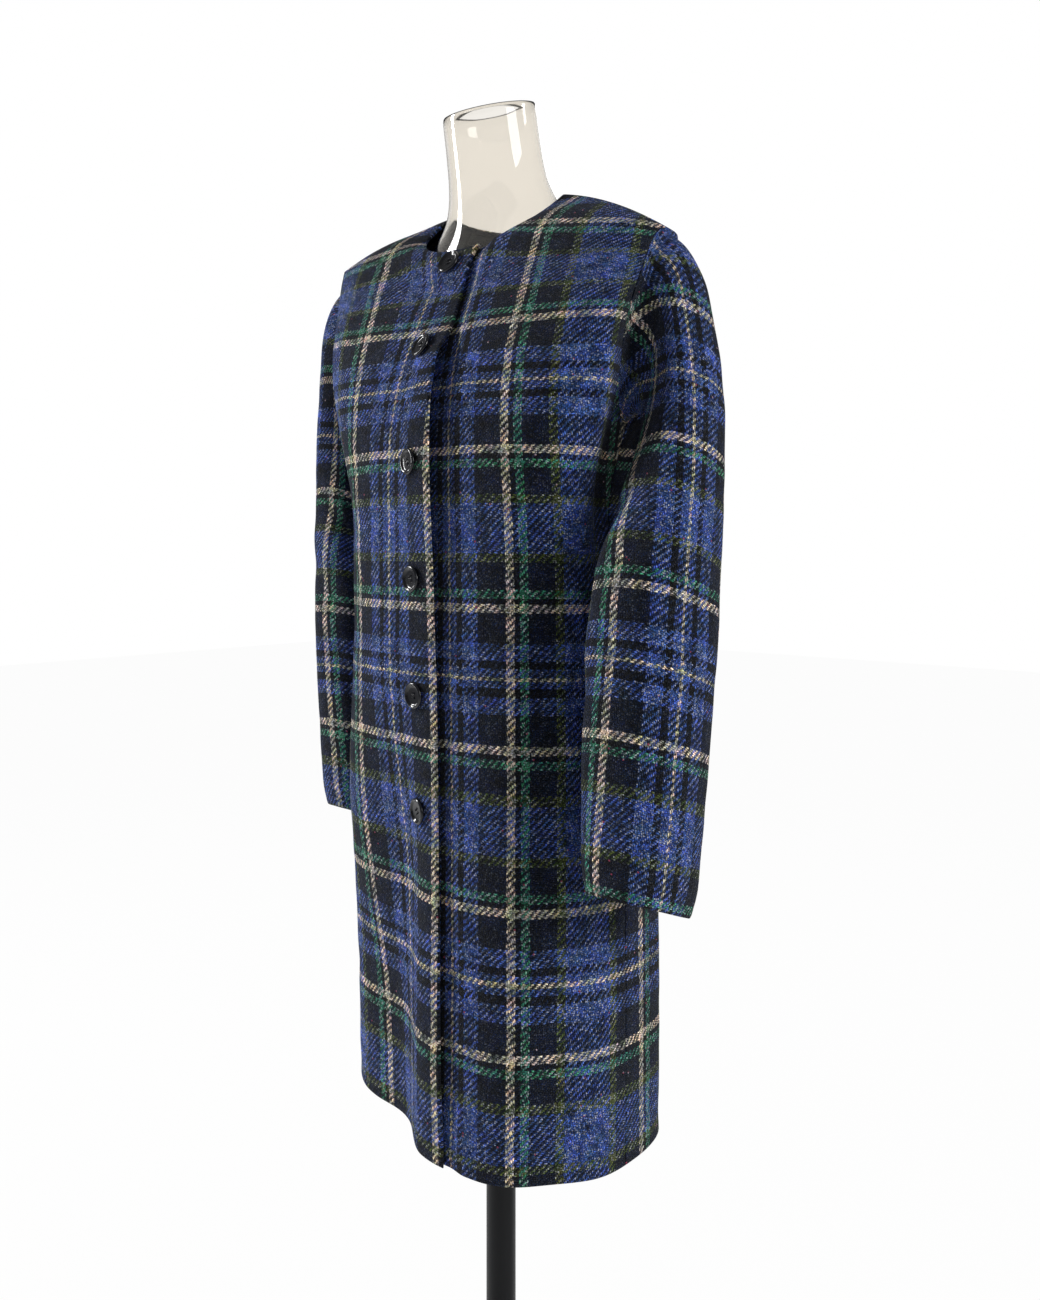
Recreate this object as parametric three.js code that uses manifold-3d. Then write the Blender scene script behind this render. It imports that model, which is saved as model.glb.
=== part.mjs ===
// A collarless, knee-length, single-breasted wool coat with long dropped-shoulder sleeves and six
// buttons, worn by a clear limbless dress form that stands on a pole and a round base.
// Millimetres, +Z up. The wearer faces -Y, so the wearer's left side is at +X.
// The origin is on the floor, at the middle of the base's underside, in line with the pole.

import * as THREE from "three";
import { mergeVertices } from "three/addons/utils/BufferGeometryUtils.js";
import Module from "manifold-3d";

const wasm = await Module();
wasm.setup();

// ---- driving dimensions -------------------------------------------------------------------
const wall = 4; // heavy tweed with its lining
const seamGap = 0.3; // between sewn pieces
const hemHeight = 420;
const neckPointHeight = 1409; // where the shoulder seam meets the neckline
const shoulderHeight = 1348; // top of the armhole
const underarmHeight = 1160;

const armholeReach = 11; // degrees that the armhole cuts into the front and the back
const neckHalfWidth = 82;
const neckMiddle = 5; // the neck points lie this far behind the pole's axis
const neck = {
  front: { depth: 74, drop: 58, round: 0.75, dip: 0.75, centreUnderarm: 1150, centreShoulder: 1300 },
  back: { depth: 60, drop: 13, round: 0.86, dip: 1.2, centreUnderarm: 1155, centreShoulder: 1335 },
};

const overlap = 30; // the right front's edge lies this far past the centre line
const overlapFlare = 6; // and this much further at the hem
const underlap = 34;
const closureGap = 1.6; // between the two fronts where they lie on each other
const edgeLift = 14; // the right front's edge stands off the left front over the chest
const skirtLift = 5; // and how far it stands off below the waist

const button = { count: 6, radius: 13.5, thickness: 4.2, firstHeight: 1334, spacing: 118 };
const facing = { thickness: 1.5, depth: 0.55, reach: 0.72, gap: 0.6 };

const form = { wall: 3, bottom: 770, neckTop: 1510, lean: 0.19 };
const pole = { radius: 16 };
const base = { radius: 165, thickness: 10 };
const plate = { radius: 62, thickness: 8 };

// ---- small helpers ------------------------------------------------------------------------
const degrees = Math.PI / 180;
const mix = (a, b, t) => a + (b - a) * t;
const clamp01 = (t) => Math.min(1, Math.max(0, t));
const rise = (from, to, value) => {
  const t = clamp01((value - from) / (to - from));
  return t * t * (3 - 2 * t);
};
const bell = (value, centre, width) => Math.exp(-(((value - centre) / width) ** 2));
const signedPower = (value, power) => Math.sign(value) * Math.abs(value) ** power;
const wrapAngle = (angle) => ((((angle + 180) % 360) + 360) % 360) - 180;
const steps = (count) => Array.from({ length: count + 1 }, (_, i) => i / count);

// Reads a column of a table at a key: a monotone cubic through the rows, so it never overshoots.
function readTable(table, keyColumn, column, key) {
  const last = table.length - 1;
  if (key <= table[0][keyColumn]) return table[0][column];
  if (key >= table[last][keyColumn]) return table[last][column];
  let i = 0;
  while (key > table[i + 1][keyColumn]) i++;
  const span = (k) => table[k + 1][keyColumn] - table[k][keyColumn];
  const slope = (k) => (table[k + 1][column] - table[k][column]) / span(k);
  const tangent = (k) => {
    if (k === 0) return slope(0);
    if (k === last) return slope(last - 1);
    const [before, after] = [slope(k - 1), slope(k)];
    return before * after <= 0 ? 0 : (2 * before * after) / (before + after);
  };
  const t = (key - table[i][keyColumn]) / span(i);
  return (
    (2 * t ** 3 - 3 * t ** 2 + 1) * table[i][column] +
    (t ** 3 - 2 * t ** 2 + t) * span(i) * tangent(i) +
    (3 * t ** 2 - 2 * t ** 3) * table[i + 1][column] +
    (t ** 3 - t ** 2) * span(i) * tangent(i + 1)
  );
}

// ---- the coat's body ----------------------------------------------------------------------
// Level sections: reach to the wearer's left and right, forward and back of the pole's axis, and
// how square the left and right front quarters are (2 is an ellipse).
const bodySections = [
  { height: 420, left: 168, right: 212, front: 130, back: 142, squareLeft: 2.2, squareRight: 1.5 },
  { height: 560, left: 168, right: 207, front: 128, back: 143, squareLeft: 2.2, squareRight: 1.7 },
  { height: 700, left: 167, right: 193, front: 126, back: 144, squareLeft: 2.35, squareRight: 2.2 },
  { height: 800, left: 166, right: 186, front: 126, back: 144, squareLeft: 2.45, squareRight: 2.5 },
  { height: 950, left: 165, right: 177, front: 128, back: 142, squareLeft: 2.5, squareRight: 2.4 },
  { height: 1050, left: 167, right: 177, front: 128, back: 139, squareLeft: 2.7, squareRight: 2.5 },
  { height: 1100, left: 174, right: 182, front: 129, back: 136, squareLeft: 2.9, squareRight: 2.5 },
  { height: 1140, left: 186, right: 195, front: 129, back: 133, squareLeft: 2.95, squareRight: 2.5 },
  { height: 1178, left: 199, right: 210, front: 127, back: 131, squareLeft: 2.95, squareRight: 2.5 },
  { height: 1222, left: 211, right: 226, front: 120, back: 126, squareLeft: 2.95, squareRight: 2.5 },
  { height: 1258, left: 217, right: 235, front: 109, back: 120, squareLeft: 2.95, squareRight: 2.5 },
  { height: 1300, left: 219, right: 239, front: 93, back: 110, squareLeft: 2.9, squareRight: 2.5 },
  { height: 1348, left: 216, right: 237, front: 74, back: 94, squareLeft: 2.9, squareRight: 2.5 },
];
const backSquareness = 2.3;

// Long, shallow folds that fall from the chest and the shoulder blades to the hem.
const drapeFolds = [
  { angle: 40, width: 12, depth: 4, from: 1000, to: 460 },
  { angle: 62, width: 11, depth: -5, from: 900, to: 440 },
  { angle: -34, width: 13, depth: -4, from: 1040, to: 520 },
  { angle: -64, width: 12, depth: 4, from: 980, to: 460 },
  { angle: 118, width: 12, depth: 5, from: 980, to: 440 },
  { angle: 146, width: 13, depth: -6, from: 1060, to: 440 },
  { angle: 178, width: 14, depth: 4, from: 1120, to: 520 },
  { angle: -148, width: 13, depth: -5, from: 1020, to: 440 },
  { angle: -116, width: 12, depth: 5, from: 960, to: 440 },
  { angle: -26, width: 24, depth: -23, from: 930, to: 720 },
  { angle: -52, width: 17, depth: -24, from: 760, to: 560 },
];

// Under each arm the cloth is pushed in, which leaves a deep valley in front of the armhole.
const armValley = { depth: 24, inner: 8, outer: 20, bottom: 930, deepest: 1100, upper: 1225, top: 1325 };

// The coat has crept up over the wearer's right shoulder a little.
const shoulderLift = { amount: 0.115, easing: 60, from: 1040, to: 1370 };

function lift(point) {
  const toRight = Math.max(0, -point.x);
  const share = (toRight * toRight) / (toRight + shoulderLift.easing);
  point.z += shoulderLift.amount * share * rise(shoulderLift.from, shoulderLift.to, point.z);
  return point;
}

// A point of the coat's outer face on a level section, before the right shoulder is lifted.
// Angle 0 is the centre front, 90 the wearer's left side.
function sectionPoint(angle, height) {
  const read = (column) => readTable(bodySections, "height", column, height);
  const toLeft = wrapAngle(angle) >= 0;
  const inFront = Math.abs(wrapAngle(angle)) <= 90;
  const [s, c] = [Math.sin(angle * degrees), Math.cos(angle * degrees)];
  const across = read(toLeft ? "left" : "right");
  const along = read(inFront ? "front" : "back");
  const square = inFront ? read(toLeft ? "squareLeft" : "squareRight") : backSquareness;
  const reach = ((Math.abs(s) / across) ** square + (Math.abs(c) / along) ** square) ** (-1 / square);
  const out = reach + drape(angle, height) - valley(angle, height);
  return new THREE.Vector3(out * s, -out * c, height);
}

function drape(angle, height) {
  let out = 0;
  for (const fold of drapeFolds) {
    const along = 1 - rise(fold.to - 40, fold.from, height);
    out += fold.depth * along * bell(wrapAngle(angle - fold.angle), 0, fold.width);
  }
  return out;
}

function valley(angle, height) {
  const fromSide = Math.abs(Math.abs(wrapAngle(angle)) - 90);
  const along =
    rise(armValley.bottom, armValley.deepest, height) *
    (1 - rise(armValley.upper, armValley.top, height));
  return armValley.depth * along * (1 - rise(armValley.inner, armValley.outer, fromSide));
}

function sectionNormal(angle, height) {
  const step = 0.5;
  const round = sectionPoint(angle + step, height).sub(sectionPoint(angle - step, height));
  const up = sectionPoint(angle, height + step).sub(sectionPoint(angle, height - step));
  return round.cross(up).normalize();
}

// ---- body panels --------------------------------------------------------------------------
// A panel is measured by s, from its centre edge (0) to its side (1), and v, from the hem: 0 to 1
// is up the side seam, 1 to 2 along the armhole and 2 to 3 over the shoulder to the neckline.
// side is 1 for the wearer's left and -1 for the right; inFront picks the front or the back.
// past is how far the panel's centre edge reaches past the centre line.
function panelPlace(panel, s, v) {
  const shape = panel.inFront ? neck.front : neck.back;
  const zone = Math.min(v, 2);
  let [centre, outer, sideAngle] = [0, 0, 90];
  if (zone <= 1) {
    centre = mix(hemHeight, shape.centreUnderarm, zone);
    outer = mix(hemHeight, underarmHeight, zone);
  } else {
    const turn = (zone - 1) * Math.PI;
    centre = mix(shape.centreUnderarm, shape.centreShoulder, zone - 1);
    outer = mix(underarmHeight, shoulderHeight, (1 - Math.cos(turn)) / 2);
    sideAngle = 90 - armholeReach * Math.sin(turn);
  }
  const height = mix(centre, outer, rise(0, 1, s));
  const pastHere = panel.past + (panel.flare ?? 0) * (1 - rise(hemHeight, 800, height));
  const depth = readTable(bodySections, "height", "front", height);
  const centreAngle = panel.past ? -Math.atan2(pastHere, depth) / degrees : 0;
  const own = mix(centreAngle, sideAngle, s);
  return { angle: panel.side * (panel.inFront ? own : 180 - own), height };
}

// The neckline from the panel's centre edge to the neck point.
function neckPoint(panel, s) {
  const shape = panel.inFront ? neck.front : neck.back;
  const roundness = shape.round;
  const centreAngle = -Math.asin((panel.past / neckHalfWidth) ** (1 / roundness)) / degrees;
  const angle = mix(panel.past ? centreAngle : 0, 90, s) * degrees;
  const towards = panel.inFront ? -1 : 1;
  const forward = Math.cos(angle) ** roundness;
  return new THREE.Vector3(
    panel.side * neckHalfWidth * signedPower(Math.sin(angle), roundness),
    neckMiddle + towards * shape.depth * forward,
    neckPointHeight - shape.drop * Math.cos(angle) ** shape.dip,
  );
}

// Between the armhole's top and the neckline the cloth bows out, more towards the shoulder seam.
const yokeBow = { centre: 3, side: 9, forward: 0.5, up: 0.86 };
function flatPoint(panel, s, v) {
  const place = panelPlace(panel, s, v);
  const low = sectionPoint(place.angle, place.height);
  if (v <= 2) return low;
  const t = v - 2;
  const point = low.clone().lerp(neckPoint(panel, s), t);
  const fromCentre = Math.abs(Math.sin(place.angle * degrees));
  const bow = 4 * t * (1 - t) * mix(yokeBow.centre, yokeBow.side, rise(0, 0.9, fromCentre));
  const forward = (panel.inFront ? -yokeBow.forward : yokeBow.forward) * (1 - s ** 3);
  return point.add(new THREE.Vector3(0, forward, yokeBow.up).multiplyScalar(bow));
}

function yokeNormal(panel, s, v) {
  const step = 0.02;
  const along = flatPoint(panel, Math.min(s + step, 1), v).sub(flatPoint(panel, s - step, v));
  const up = flatPoint(panel, s, Math.min(v + step, 3)).sub(flatPoint(panel, s, v));
  if (v > 3 - step) up.copy(flatPoint(panel, s, 3)).sub(flatPoint(panel, s, 3 - step));
  const normal = along.cross(up).normalize();
  if (normal.z < 0) normal.negate();
  normal.y *= 1 - rise(0.75, 1, s); // front and back share the shoulder seam's normal
  return normal.normalize();
}

function panelNormal(panel, s, v) {
  const place = panelPlace(panel, s, Math.min(v, 2));
  const low = sectionNormal(place.angle, place.height);
  const share = rise(1.7, 2.3, v);
  if (share === 0) return low;
  return low.lerp(yokeNormal(panel, s, Math.max(v, 2)), share).normalize();
}

// The left front lies inside the right one where they overlap, and comes out beside its edge.
const tuck = { from: 2, to: 26 };
function inset(panel, s, v) {
  if (!panel.tucked) return 0;
  const point = flatPoint(panel, s, v);
  const beyond = point.x - overlap - overlapFlare * (1 - rise(hemHeight, 800, point.z));
  return (wall + closureGap) * (1 - rise(tuck.from, tuck.to, beyond));
}

// The right front's free edge stands off the chest.
function standOff(panel, s, v) {
  if (!panel.onTop) return 0;
  const skirt = skirtLift * rise(0, 0.15, v);
  const along = mix(skirt, edgeLift, rise(0.62, 1, v)) * (1 - rise(1.45, 1.8, v));
  return along * (1 - rise(0, 0.3, s));
}

// A point of a panel on the hung coat, a depth inside its outer face.
function panelPoint(panel, s, v, depth = 0) {
  const normal = panelNormal(panel, s, v);
  const out = standOff(panel, s, v) - inset(panel, s, v) - depth;
  const point = flatPoint(panel, s, v).addScaledVector(normal, out);
  if (s === 1 && (v <= 1 || v >= 2)) point.y += ((panel.inFront ? -1 : 1) * seamGap) / 2;
  return lift(point);
}

// ---- closed walls -------------------------------------------------------------------------
// Joins an outer and an inner grid of points, rows of equal length, into one closed solid.
// A wrapped grid is a tube: its last column joins its first. A capped one is shut at its first row.
function closedWall(outer, inner, { wrapped = false, capped = false, flip = false } = {}) {
  const rows = outer.length;
  const columns = outer[0].length;
  const points = [...outer.flat(), ...inner.flat()];
  const faces = [];
  const outerAt = (r, c) => r * columns + (c % columns);
  const innerAt = (r, c) => rows * columns + outerAt(r, c);
  const quad = (a, b, c, d) => faces.push([a, b, c], [a, c, d]);
  const lastColumn = wrapped ? columns : columns - 1;
  for (let r = 0; r < rows - 1; r++) {
    for (let c = 0; c < lastColumn; c++) {
      quad(outerAt(r, c), outerAt(r, c + 1), outerAt(r + 1, c + 1), outerAt(r + 1, c));
      quad(innerAt(r, c), innerAt(r + 1, c), innerAt(r + 1, c + 1), innerAt(r, c + 1));
    }
    if (wrapped) continue;
    quad(outerAt(r, 0), outerAt(r + 1, 0), innerAt(r + 1, 0), innerAt(r, 0));
    const end = lastColumn;
    quad(outerAt(r, end), innerAt(r, end), innerAt(r + 1, end), outerAt(r + 1, end));
  }
  for (let c = 0; c < lastColumn; c++) {
    const top = rows - 1;
    quad(outerAt(top, c), outerAt(top, c + 1), innerAt(top, c + 1), innerAt(top, c));
    if (capped) continue;
    const start = [outerAt(0, c), innerAt(0, c), innerAt(0, c + 1), outerAt(0, c + 1)];
    const climbs = outer[0][(c + 1) % columns].z > outer[0][c].z;
    quad(...(climbs ? start : [...start.slice(1), start[0]])); // split as the panels' edges are
  }
  if (capped) {
    const below = points.push(middleOf(outer[0])) - 1;
    const above = points.push(middleOf(inner[0])) - 1;
    for (let c = 0; c < lastColumn; c++) {
      faces.push([below, outerAt(0, c + 1), outerAt(0, c)]);
      faces.push([above, innerAt(0, c), innerAt(0, c + 1)]);
    }
  }
  return meshGeometry(points, faces, flip);
}

function middleOf(ring) {
  return ring.reduce((sum, point) => sum.add(point), new THREE.Vector3()).divideScalar(ring.length);
}

function meshGeometry(points, faces, flip = false) {
  const geometry = new THREE.BufferGeometry();
  const flat = points.flatMap((point) => [point.x, point.y, point.z]);
  geometry.setAttribute("position", new THREE.Float32BufferAttribute(flat, 3));
  geometry.setIndex(faces.flatMap(([a, b, c]) => (flip ? [a, c, b] : [a, b, c])));
  geometry.computeVertexNormals();
  return geometry;
}

// ---- materials ----------------------------------------------------------------------------
const material = (color, roughness, metalness = 0, extra = {}) =>
  new THREE.MeshStandardMaterial({ color, roughness, metalness, ...extra });
const tweed = material(0x2b3560, 0.92);
const tweedUnder = material(0x27325a, 0.92);
const liningCloth = material(0x141a2b, 0.7);
const horn = material(0x1a1512, 0.22);
const clearResin = material(0xe6e2da, 0.06, 0, { transparent: true, opacity: 0.35 });
const blackSteel = material(0x0c0c0d, 0.4, 0.6);

const coat = new THREE.Group();
function addPiece(group, name, geometry, finish) {
  const mesh = new THREE.Mesh(geometry, finish);
  mesh.name = name;
  group.add(mesh);
  return mesh;
}

// ---- fronts, back and facing --------------------------------------------------------------
const panelColumns = 15;
const sideRows = 13;
const armholeRows = 11;
const shoulderRows = 5;
const columnCrowding = 0.28; // columns stand closer together towards the side
const columnPlaces = steps(panelColumns).map((u) => u * (1 + columnCrowding * (1 - u)));
const rowPlaces = [
  ...steps(sideRows),
  ...steps(armholeRows).slice(1).map((v) => 1 + v),
  ...steps(shoulderRows).slice(1).map((v) => 2 + v),
];

const leftFront = { side: 1, inFront: true, past: underlap, tucked: true };
const rightFront = { side: -1, inFront: true, past: overlap, flare: overlapFlare, onTop: true };
const backHalf = (side) => ({ side, inFront: false, past: 0 });

function panelGrid(panel, depth, rows = rowPlaces, columns = columnPlaces) {
  return rows.map((v) => columns.map((s) => panelPoint(panel, s, v, depth)));
}

function backGrid(depth, rows = rowPlaces, columns = columnPlaces) {
  const left = panelGrid(backHalf(1), depth, rows, columns);
  const right = panelGrid(backHalf(-1), depth, rows, columns);
  return left.map((row, r) => [...row.toReversed(), ...right[r].slice(1)]);
}

addPiece(coat, "left_front", closedWall(panelGrid(leftFront, 0), panelGrid(leftFront, wall)), tweed);
addPiece(
  coat,
  "right_front",
  closedWall(panelGrid(rightFront, 0), panelGrid(rightFront, wall), { flip: true }),
  tweed,
);
addPiece(coat, "back", closedWall(backGrid(0), backGrid(wall)), tweedUnder);

// The facing shows inside the back of the neckline.
const facingRows = steps(3).map((t) => mix(3 - facing.depth, 2.97, t));
const facingColumns = steps(9).map((t) => t * facing.reach);
const facingOuter = wall + facing.gap;
addPiece(
  coat,
  "back_neck_facing",
  closedWall(
    backGrid(facingOuter, facingRows, facingColumns),
    backGrid(facingOuter + facing.thickness, facingRows, facingColumns),
  ),
  liningCloth,
);

// ---- sleeves ------------------------------------------------------------------------------
// Rings from just off the armhole to the cuff. Each is given by the point nearest the body and
// the point furthest out, its middle's place front to back, half its depth, and how much higher
// its front edge is than its back. left and right are where the middle of each sleeve lies front
// to back, and out is how much further from the body the right sleeve is.
const sleeveRings = [
  { at: 1, inX: 178, inZ: 1166, outX: 228, outZ: 1341, left: 2, right: 0, out: 24, half: 38, rake: 0 },
  { at: 2, inX: 185, inZ: 1168, outX: 238, outZ: 1324, left: 5, right: 0, out: 29, half: 40, rake: 0 },
  { at: 3, inX: 190, inZ: 1161, outX: 248, outZ: 1294, left: 8, right: 0, out: 29, half: 41, rake: 0 },
  { at: 4, inX: 190, inZ: 1147, outX: 257, outZ: 1250, left: 8, right: 2, out: 26, half: 44, rake: 0 },
  { at: 5, inX: 190, inZ: 1124, outX: 266, outZ: 1196, left: 4, right: 4, out: 21, half: 49, rake: 0 },
  { at: 6, inX: 188, inZ: 1096, outX: 272, outZ: 1142, left: -6, right: 7, out: 16, half: 55, rake: 0 },
  { at: 7, inX: 184, inZ: 1060, outX: 277, outZ: 1088, left: -18, right: 12, out: 13, half: 61, rake: 0 },
  { at: 8, inX: 176, inZ: 1014, outX: 282, outZ: 1028, left: -32, right: 16, out: 13, half: 66, rake: 0 },
  { at: 9, inX: 171, inZ: 955, outX: 284, outZ: 960, left: -40, right: 19, out: 14, half: 67, rake: 2 },
  { at: 10, inX: 170, inZ: 885, outX: 282, outZ: 887, left: -46, right: 21, out: 17, half: 65, rake: 6 },
  { at: 11, inX: 171, inZ: 805, outX: 277, outZ: 804, left: -50, right: 23, out: 20, half: 62, rake: 13 },
  { at: 12, inX: 173, inZ: 702, outX: 268, outZ: 702, left: -53, right: 25, out: 24, half: 59, rake: 20 },
];
const ringsPerRow = 2;
const sleeveSquareness = 0.93;
const sleeveTuck = { depth: 15, around: 104, width: 34, end: 7 }; // the fold in front of the armhole

// The armhole round from the shoulder point: 0 is its top, 90 its front and 180 the underarm.
function armholePlace(side, around) {
  const inFront = around <= 180;
  const fromTop = inFront ? around : 360 - around;
  return { panel: { side, inFront, past: 0 }, v: 2 - fromTop / 180 };
}

function armholePoint(side, around, depth) {
  const { panel, v } = armholePlace(side, around);
  const normal = panelNormal(panel, 1, v);
  return lift(flatPoint(panel, 1, v).addScaledVector(normal, -depth));
}

// The way out of the armhole, along the cloth and square to the seam.
function armholeOutward(side, around) {
  const step = 2;
  const before = (around - step + 360) % 360;
  const after = (around + step) % 360;
  const along = armholePoint(side, after, 0).sub(armholePoint(side, before, 0));
  const { panel, v } = armholePlace(side, around);
  return along.cross(panelNormal(panel, 1, v)).multiplyScalar(-side).normalize();
}

function sleevePoint(side, around, at) {
  const read = (column) => readTable(sleeveRings, "at", column, at);
  const spread = side < 0 ? read("out") : 0;
  const toTop = signedPower(Math.cos(around * degrees), sleeveSquareness);
  const toFront = signedPower(Math.sin(around * degrees), sleeveSquareness);
  const x = mix(read("inX"), read("outX"), (1 + toTop) / 2) + spread;
  const tucked = sleeveTuck.depth * rise(0, 1.5, at) * (1 - rise(3.5, sleeveTuck.end, at));
  const y =
    read(side > 0 ? "left" : "right") -
    read("half") * toFront +
    tucked * bell(around, sleeveTuck.around, sleeveTuck.width);
  const z = mix(read("inZ"), read("outZ"), (1 + toTop) / 2) + read("rake") * toFront;
  return lift(new THREE.Vector3(side * x, y, z));
}

// Near the seam the rings keep the armhole's own outline and lose it over the first few.
function sleeveSurface(side, around, at) {
  const seam = armholePoint(side, around, 0);
  seam.addScaledVector(armholeOutward(side, around), seamGap + 9 * Math.min(at, 1.5));
  if (at <= 0) return seam;
  return seam.lerp(sleevePoint(side, around, Math.max(at, 1)), rise(0, 3, at));
}

function armholeNormal(side, around) {
  const { panel, v } = armholePlace(side, around);
  return panelNormal(panel, 1, v);
}

// The first rings take some of the seam's own direction across the wall.
const seamShare = (ring) => Math.max(0, 0.75 - 0.25 * ring);

function sleeveGrids(side) {
  const arounds = steps(2 * armholeRows).slice(0, -1).map((t) => 360 * t);
  const rings = steps(12 * ringsPerRow).map((t) => 12 * t);
  const outer = rings.map((at) => arounds.map((around) => sleeveSurface(side, around, at)));
  const inner = outer.map((ring, r) =>
    ring.map((point, c) => {
      if (r === 0) {
        const edge = armholePoint(side, arounds[c], wall);
        return edge.addScaledVector(armholeOutward(side, arounds[c]), seamGap);
      }
      const next = outer[Math.min(r + 1, outer.length - 1)][c];
      const down = next.clone().sub(outer[r - 1][c]);
      const count = ring.length;
      const round = ring[(c + 1) % count].clone().sub(ring[(c - 1 + count) % count]);
      const normal = round.cross(down).normalize().multiplyScalar(side);
      normal.lerp(armholeNormal(side, arounds[c]), seamShare(r)).normalize();
      return point.clone().addScaledVector(normal, -wall);
    }),
  );
  return { outer, inner };
}

for (const [name, side] of [["left_sleeve", 1], ["right_sleeve", -1]]) {
  const { outer, inner } = sleeveGrids(side);
  addPiece(coat, name, closedWall(outer, inner, { wrapped: true, flip: side < 0 }), tweed);
}

// ---- buttons ------------------------------------------------------------------------------
const rim = { width: 2.4, slope: 1.6, height: 0.5, dish: 1.8, chamfer: 1.1, back: 1.6 };
const threadHole = { radius: 1.15, circle: 3.1 };

// Turns a closed geometry into a solid that can be cut.
function toSolid(geometry) {
  const bare = geometry.clone();
  bare.deleteAttribute("normal");
  bare.deleteAttribute("uv");
  const merged = mergeVertices(bare, 1e-4);
  const vertProperties = new Float32Array(merged.attributes.position.array);
  const triVerts = new Uint32Array(merged.index.array);
  const mesh = new wasm.Mesh({ numProp: 3, vertProperties, triVerts });
  mesh.merge();
  return new wasm.Manifold(mesh);
}

// A rimmed, dished disc with four thread holes, its back on z = 0.
function buttonGeometry() {
  const { radius, thickness } = button;
  const profile = [
    [0, 0],
    [radius - rim.back, 0],
    [radius, rim.back],
    [radius, thickness - rim.chamfer],
    [radius - rim.chamfer, thickness],
    [radius - rim.width, thickness - rim.height],
    [radius - rim.width - rim.slope, thickness - rim.dish],
    [0, thickness - rim.dish],
  ].map(([out, up]) => new THREE.Vector2(out, up));
  let disc = toSolid(new THREE.LatheGeometry(profile, 18).rotateX(90 * degrees));
  for (const turn of [45, 135, 225, 315]) {
    const hole = new THREE.CylinderGeometry(threadHole.radius, threadHole.radius, 4 * thickness, 6);
    hole.rotateX(90 * degrees).translate(threadHole.circle, 0, 0).rotateZ(turn * degrees);
    disc = disc.subtract(toSolid(hole));
  }
  const { vertProperties, triVerts, numProp } = disc.getMesh();
  const geometry = new THREE.BufferGeometry();
  const places = [];
  for (let i = 0; i < vertProperties.length; i += numProp) places.push(...vertProperties.slice(i, i + 3));
  geometry.setAttribute("position", new THREE.Float32BufferAttribute(places, 3));
  geometry.setIndex([...triVerts]);
  geometry.computeVertexNormals();
  return geometry;
}

// The share s at which the right front meets the centre line, for a given v.
function centreShare(v) {
  let [low, high] = [0, 0.5];
  for (let i = 0; i < 30; i++) {
    const middle = (low + high) / 2;
    if (panelPoint(rightFront, middle, v).x > 0) low = middle;
    else high = middle;
  }
  return low;
}

// Where the centre line crosses the right front at a height, found by halving.
function centreLinePlace(height) {
  let [low, high] = [0, 3];
  for (let i = 0; i < 30; i++) {
    const middle = (low + high) / 2;
    if (panelPoint(rightFront, centreShare(middle), middle).z < height) low = middle;
    else high = middle;
  }
  return { s: centreShare(low), v: low };
}

// The plane that a flat disc takes on a panel, just clear of the cloth under all of it.
function discSeat(panel, { s, v }, radius) {
  const stepS = 0.04;
  const stepV = 0.04;
  const centre = panelPoint(panel, s, v);
  const across = panelPoint(panel, s + stepS, v).sub(panelPoint(panel, s - stepS, v));
  const up = panelPoint(panel, s, v + stepV).sub(panelPoint(panel, s, v - stepV));
  const normal = across.clone().cross(up).multiplyScalar(panel.side).normalize();
  const reachS = (2 * stepS * radius) / across.length();
  const reachV = (2 * stepV * radius) / up.length();
  let highest = 0;
  for (let turn = 0; turn < 360; turn += 30) {
    const [a, b] = [Math.cos(turn * degrees), Math.sin(turn * degrees)];
    const rim = panelPoint(panel, s + reachS * a, v + reachV * b).sub(centre);
    highest = Math.max(highest, rim.dot(normal));
  }
  return { normal, point: centre.addScaledVector(normal, highest + buttonGap) };
}

const buttonGap = 0.5;
const chestRun = 26; // the cloth between the top two buttons slopes, so their drop is shorter
for (let i = 0; i < button.count; i++) {
  const height = button.firstHeight - i * button.spacing + (i > 0 ? chestRun : 0);
  const { normal, point } = discSeat(rightFront, centreLinePlace(height), button.radius);
  const mesh = addPiece(coat, `button_${i + 1}`, buttonGeometry(), horn);
  mesh.quaternion.setFromUnitVectors(new THREE.Vector3(0, 0, 1), normal);
  mesh.position.copy(point);
}

// ---- dress form ---------------------------------------------------------------------------
const formSections = [
  { height: 770, side: 146, front: 98, back: 108 },
  { height: 840, side: 150, front: 104, back: 116 },
  { height: 920, side: 138, front: 100, back: 104 },
  { height: 1000, side: 122, front: 92, back: 86 },
  { height: 1080, side: 128, front: 100, back: 90 },
  { height: 1170, side: 141, front: 111, back: 102 },
  { height: 1240, side: 150, front: 98, back: 104 },
  { height: 1300, side: 172, front: 75, back: 92 },
];
const formSquareness = 2.2;
const formColumns = 28;
const formClearance = { centre: 15, ridge: 0.5, from: 0.7, to: 1 };

function formBodyPoint(angle, height) {
  const read = (column) => readTable(formSections, "height", column, height);
  const [s, c] = [Math.sin(angle * degrees), Math.cos(angle * degrees)];
  const along = read(c > 0 ? "front" : "back");
  const power = formSquareness;
  const within = (Math.abs(s) / read("side")) ** power + (Math.abs(c) / along) ** power;
  const reach = within ** (-1 / power);
  return new THREE.Vector3(reach * s, -reach * c, height);
}

// Over the shoulders the form follows the coat's inside, and carries it along the seams.
function formShoulderPoint(angle, v) {
  const turn = wrapAngle(angle);
  const inFront = Math.abs(turn) <= 90;
  const s = (inFront ? Math.abs(turn) : 180 - Math.abs(turn)) / 90;
  const panel = { side: turn >= 0 ? 1 : -1, inFront, past: 0 };
  const toRidge = rise(formClearance.from, formClearance.to, s);
  const clearance = mix(formClearance.centre, formClearance.ridge, toRidge);
  const point = flatPoint(panel, s, v);
  return lift(point.addScaledVector(panelNormal(panel, s, v), -wall - clearance));
}

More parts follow.
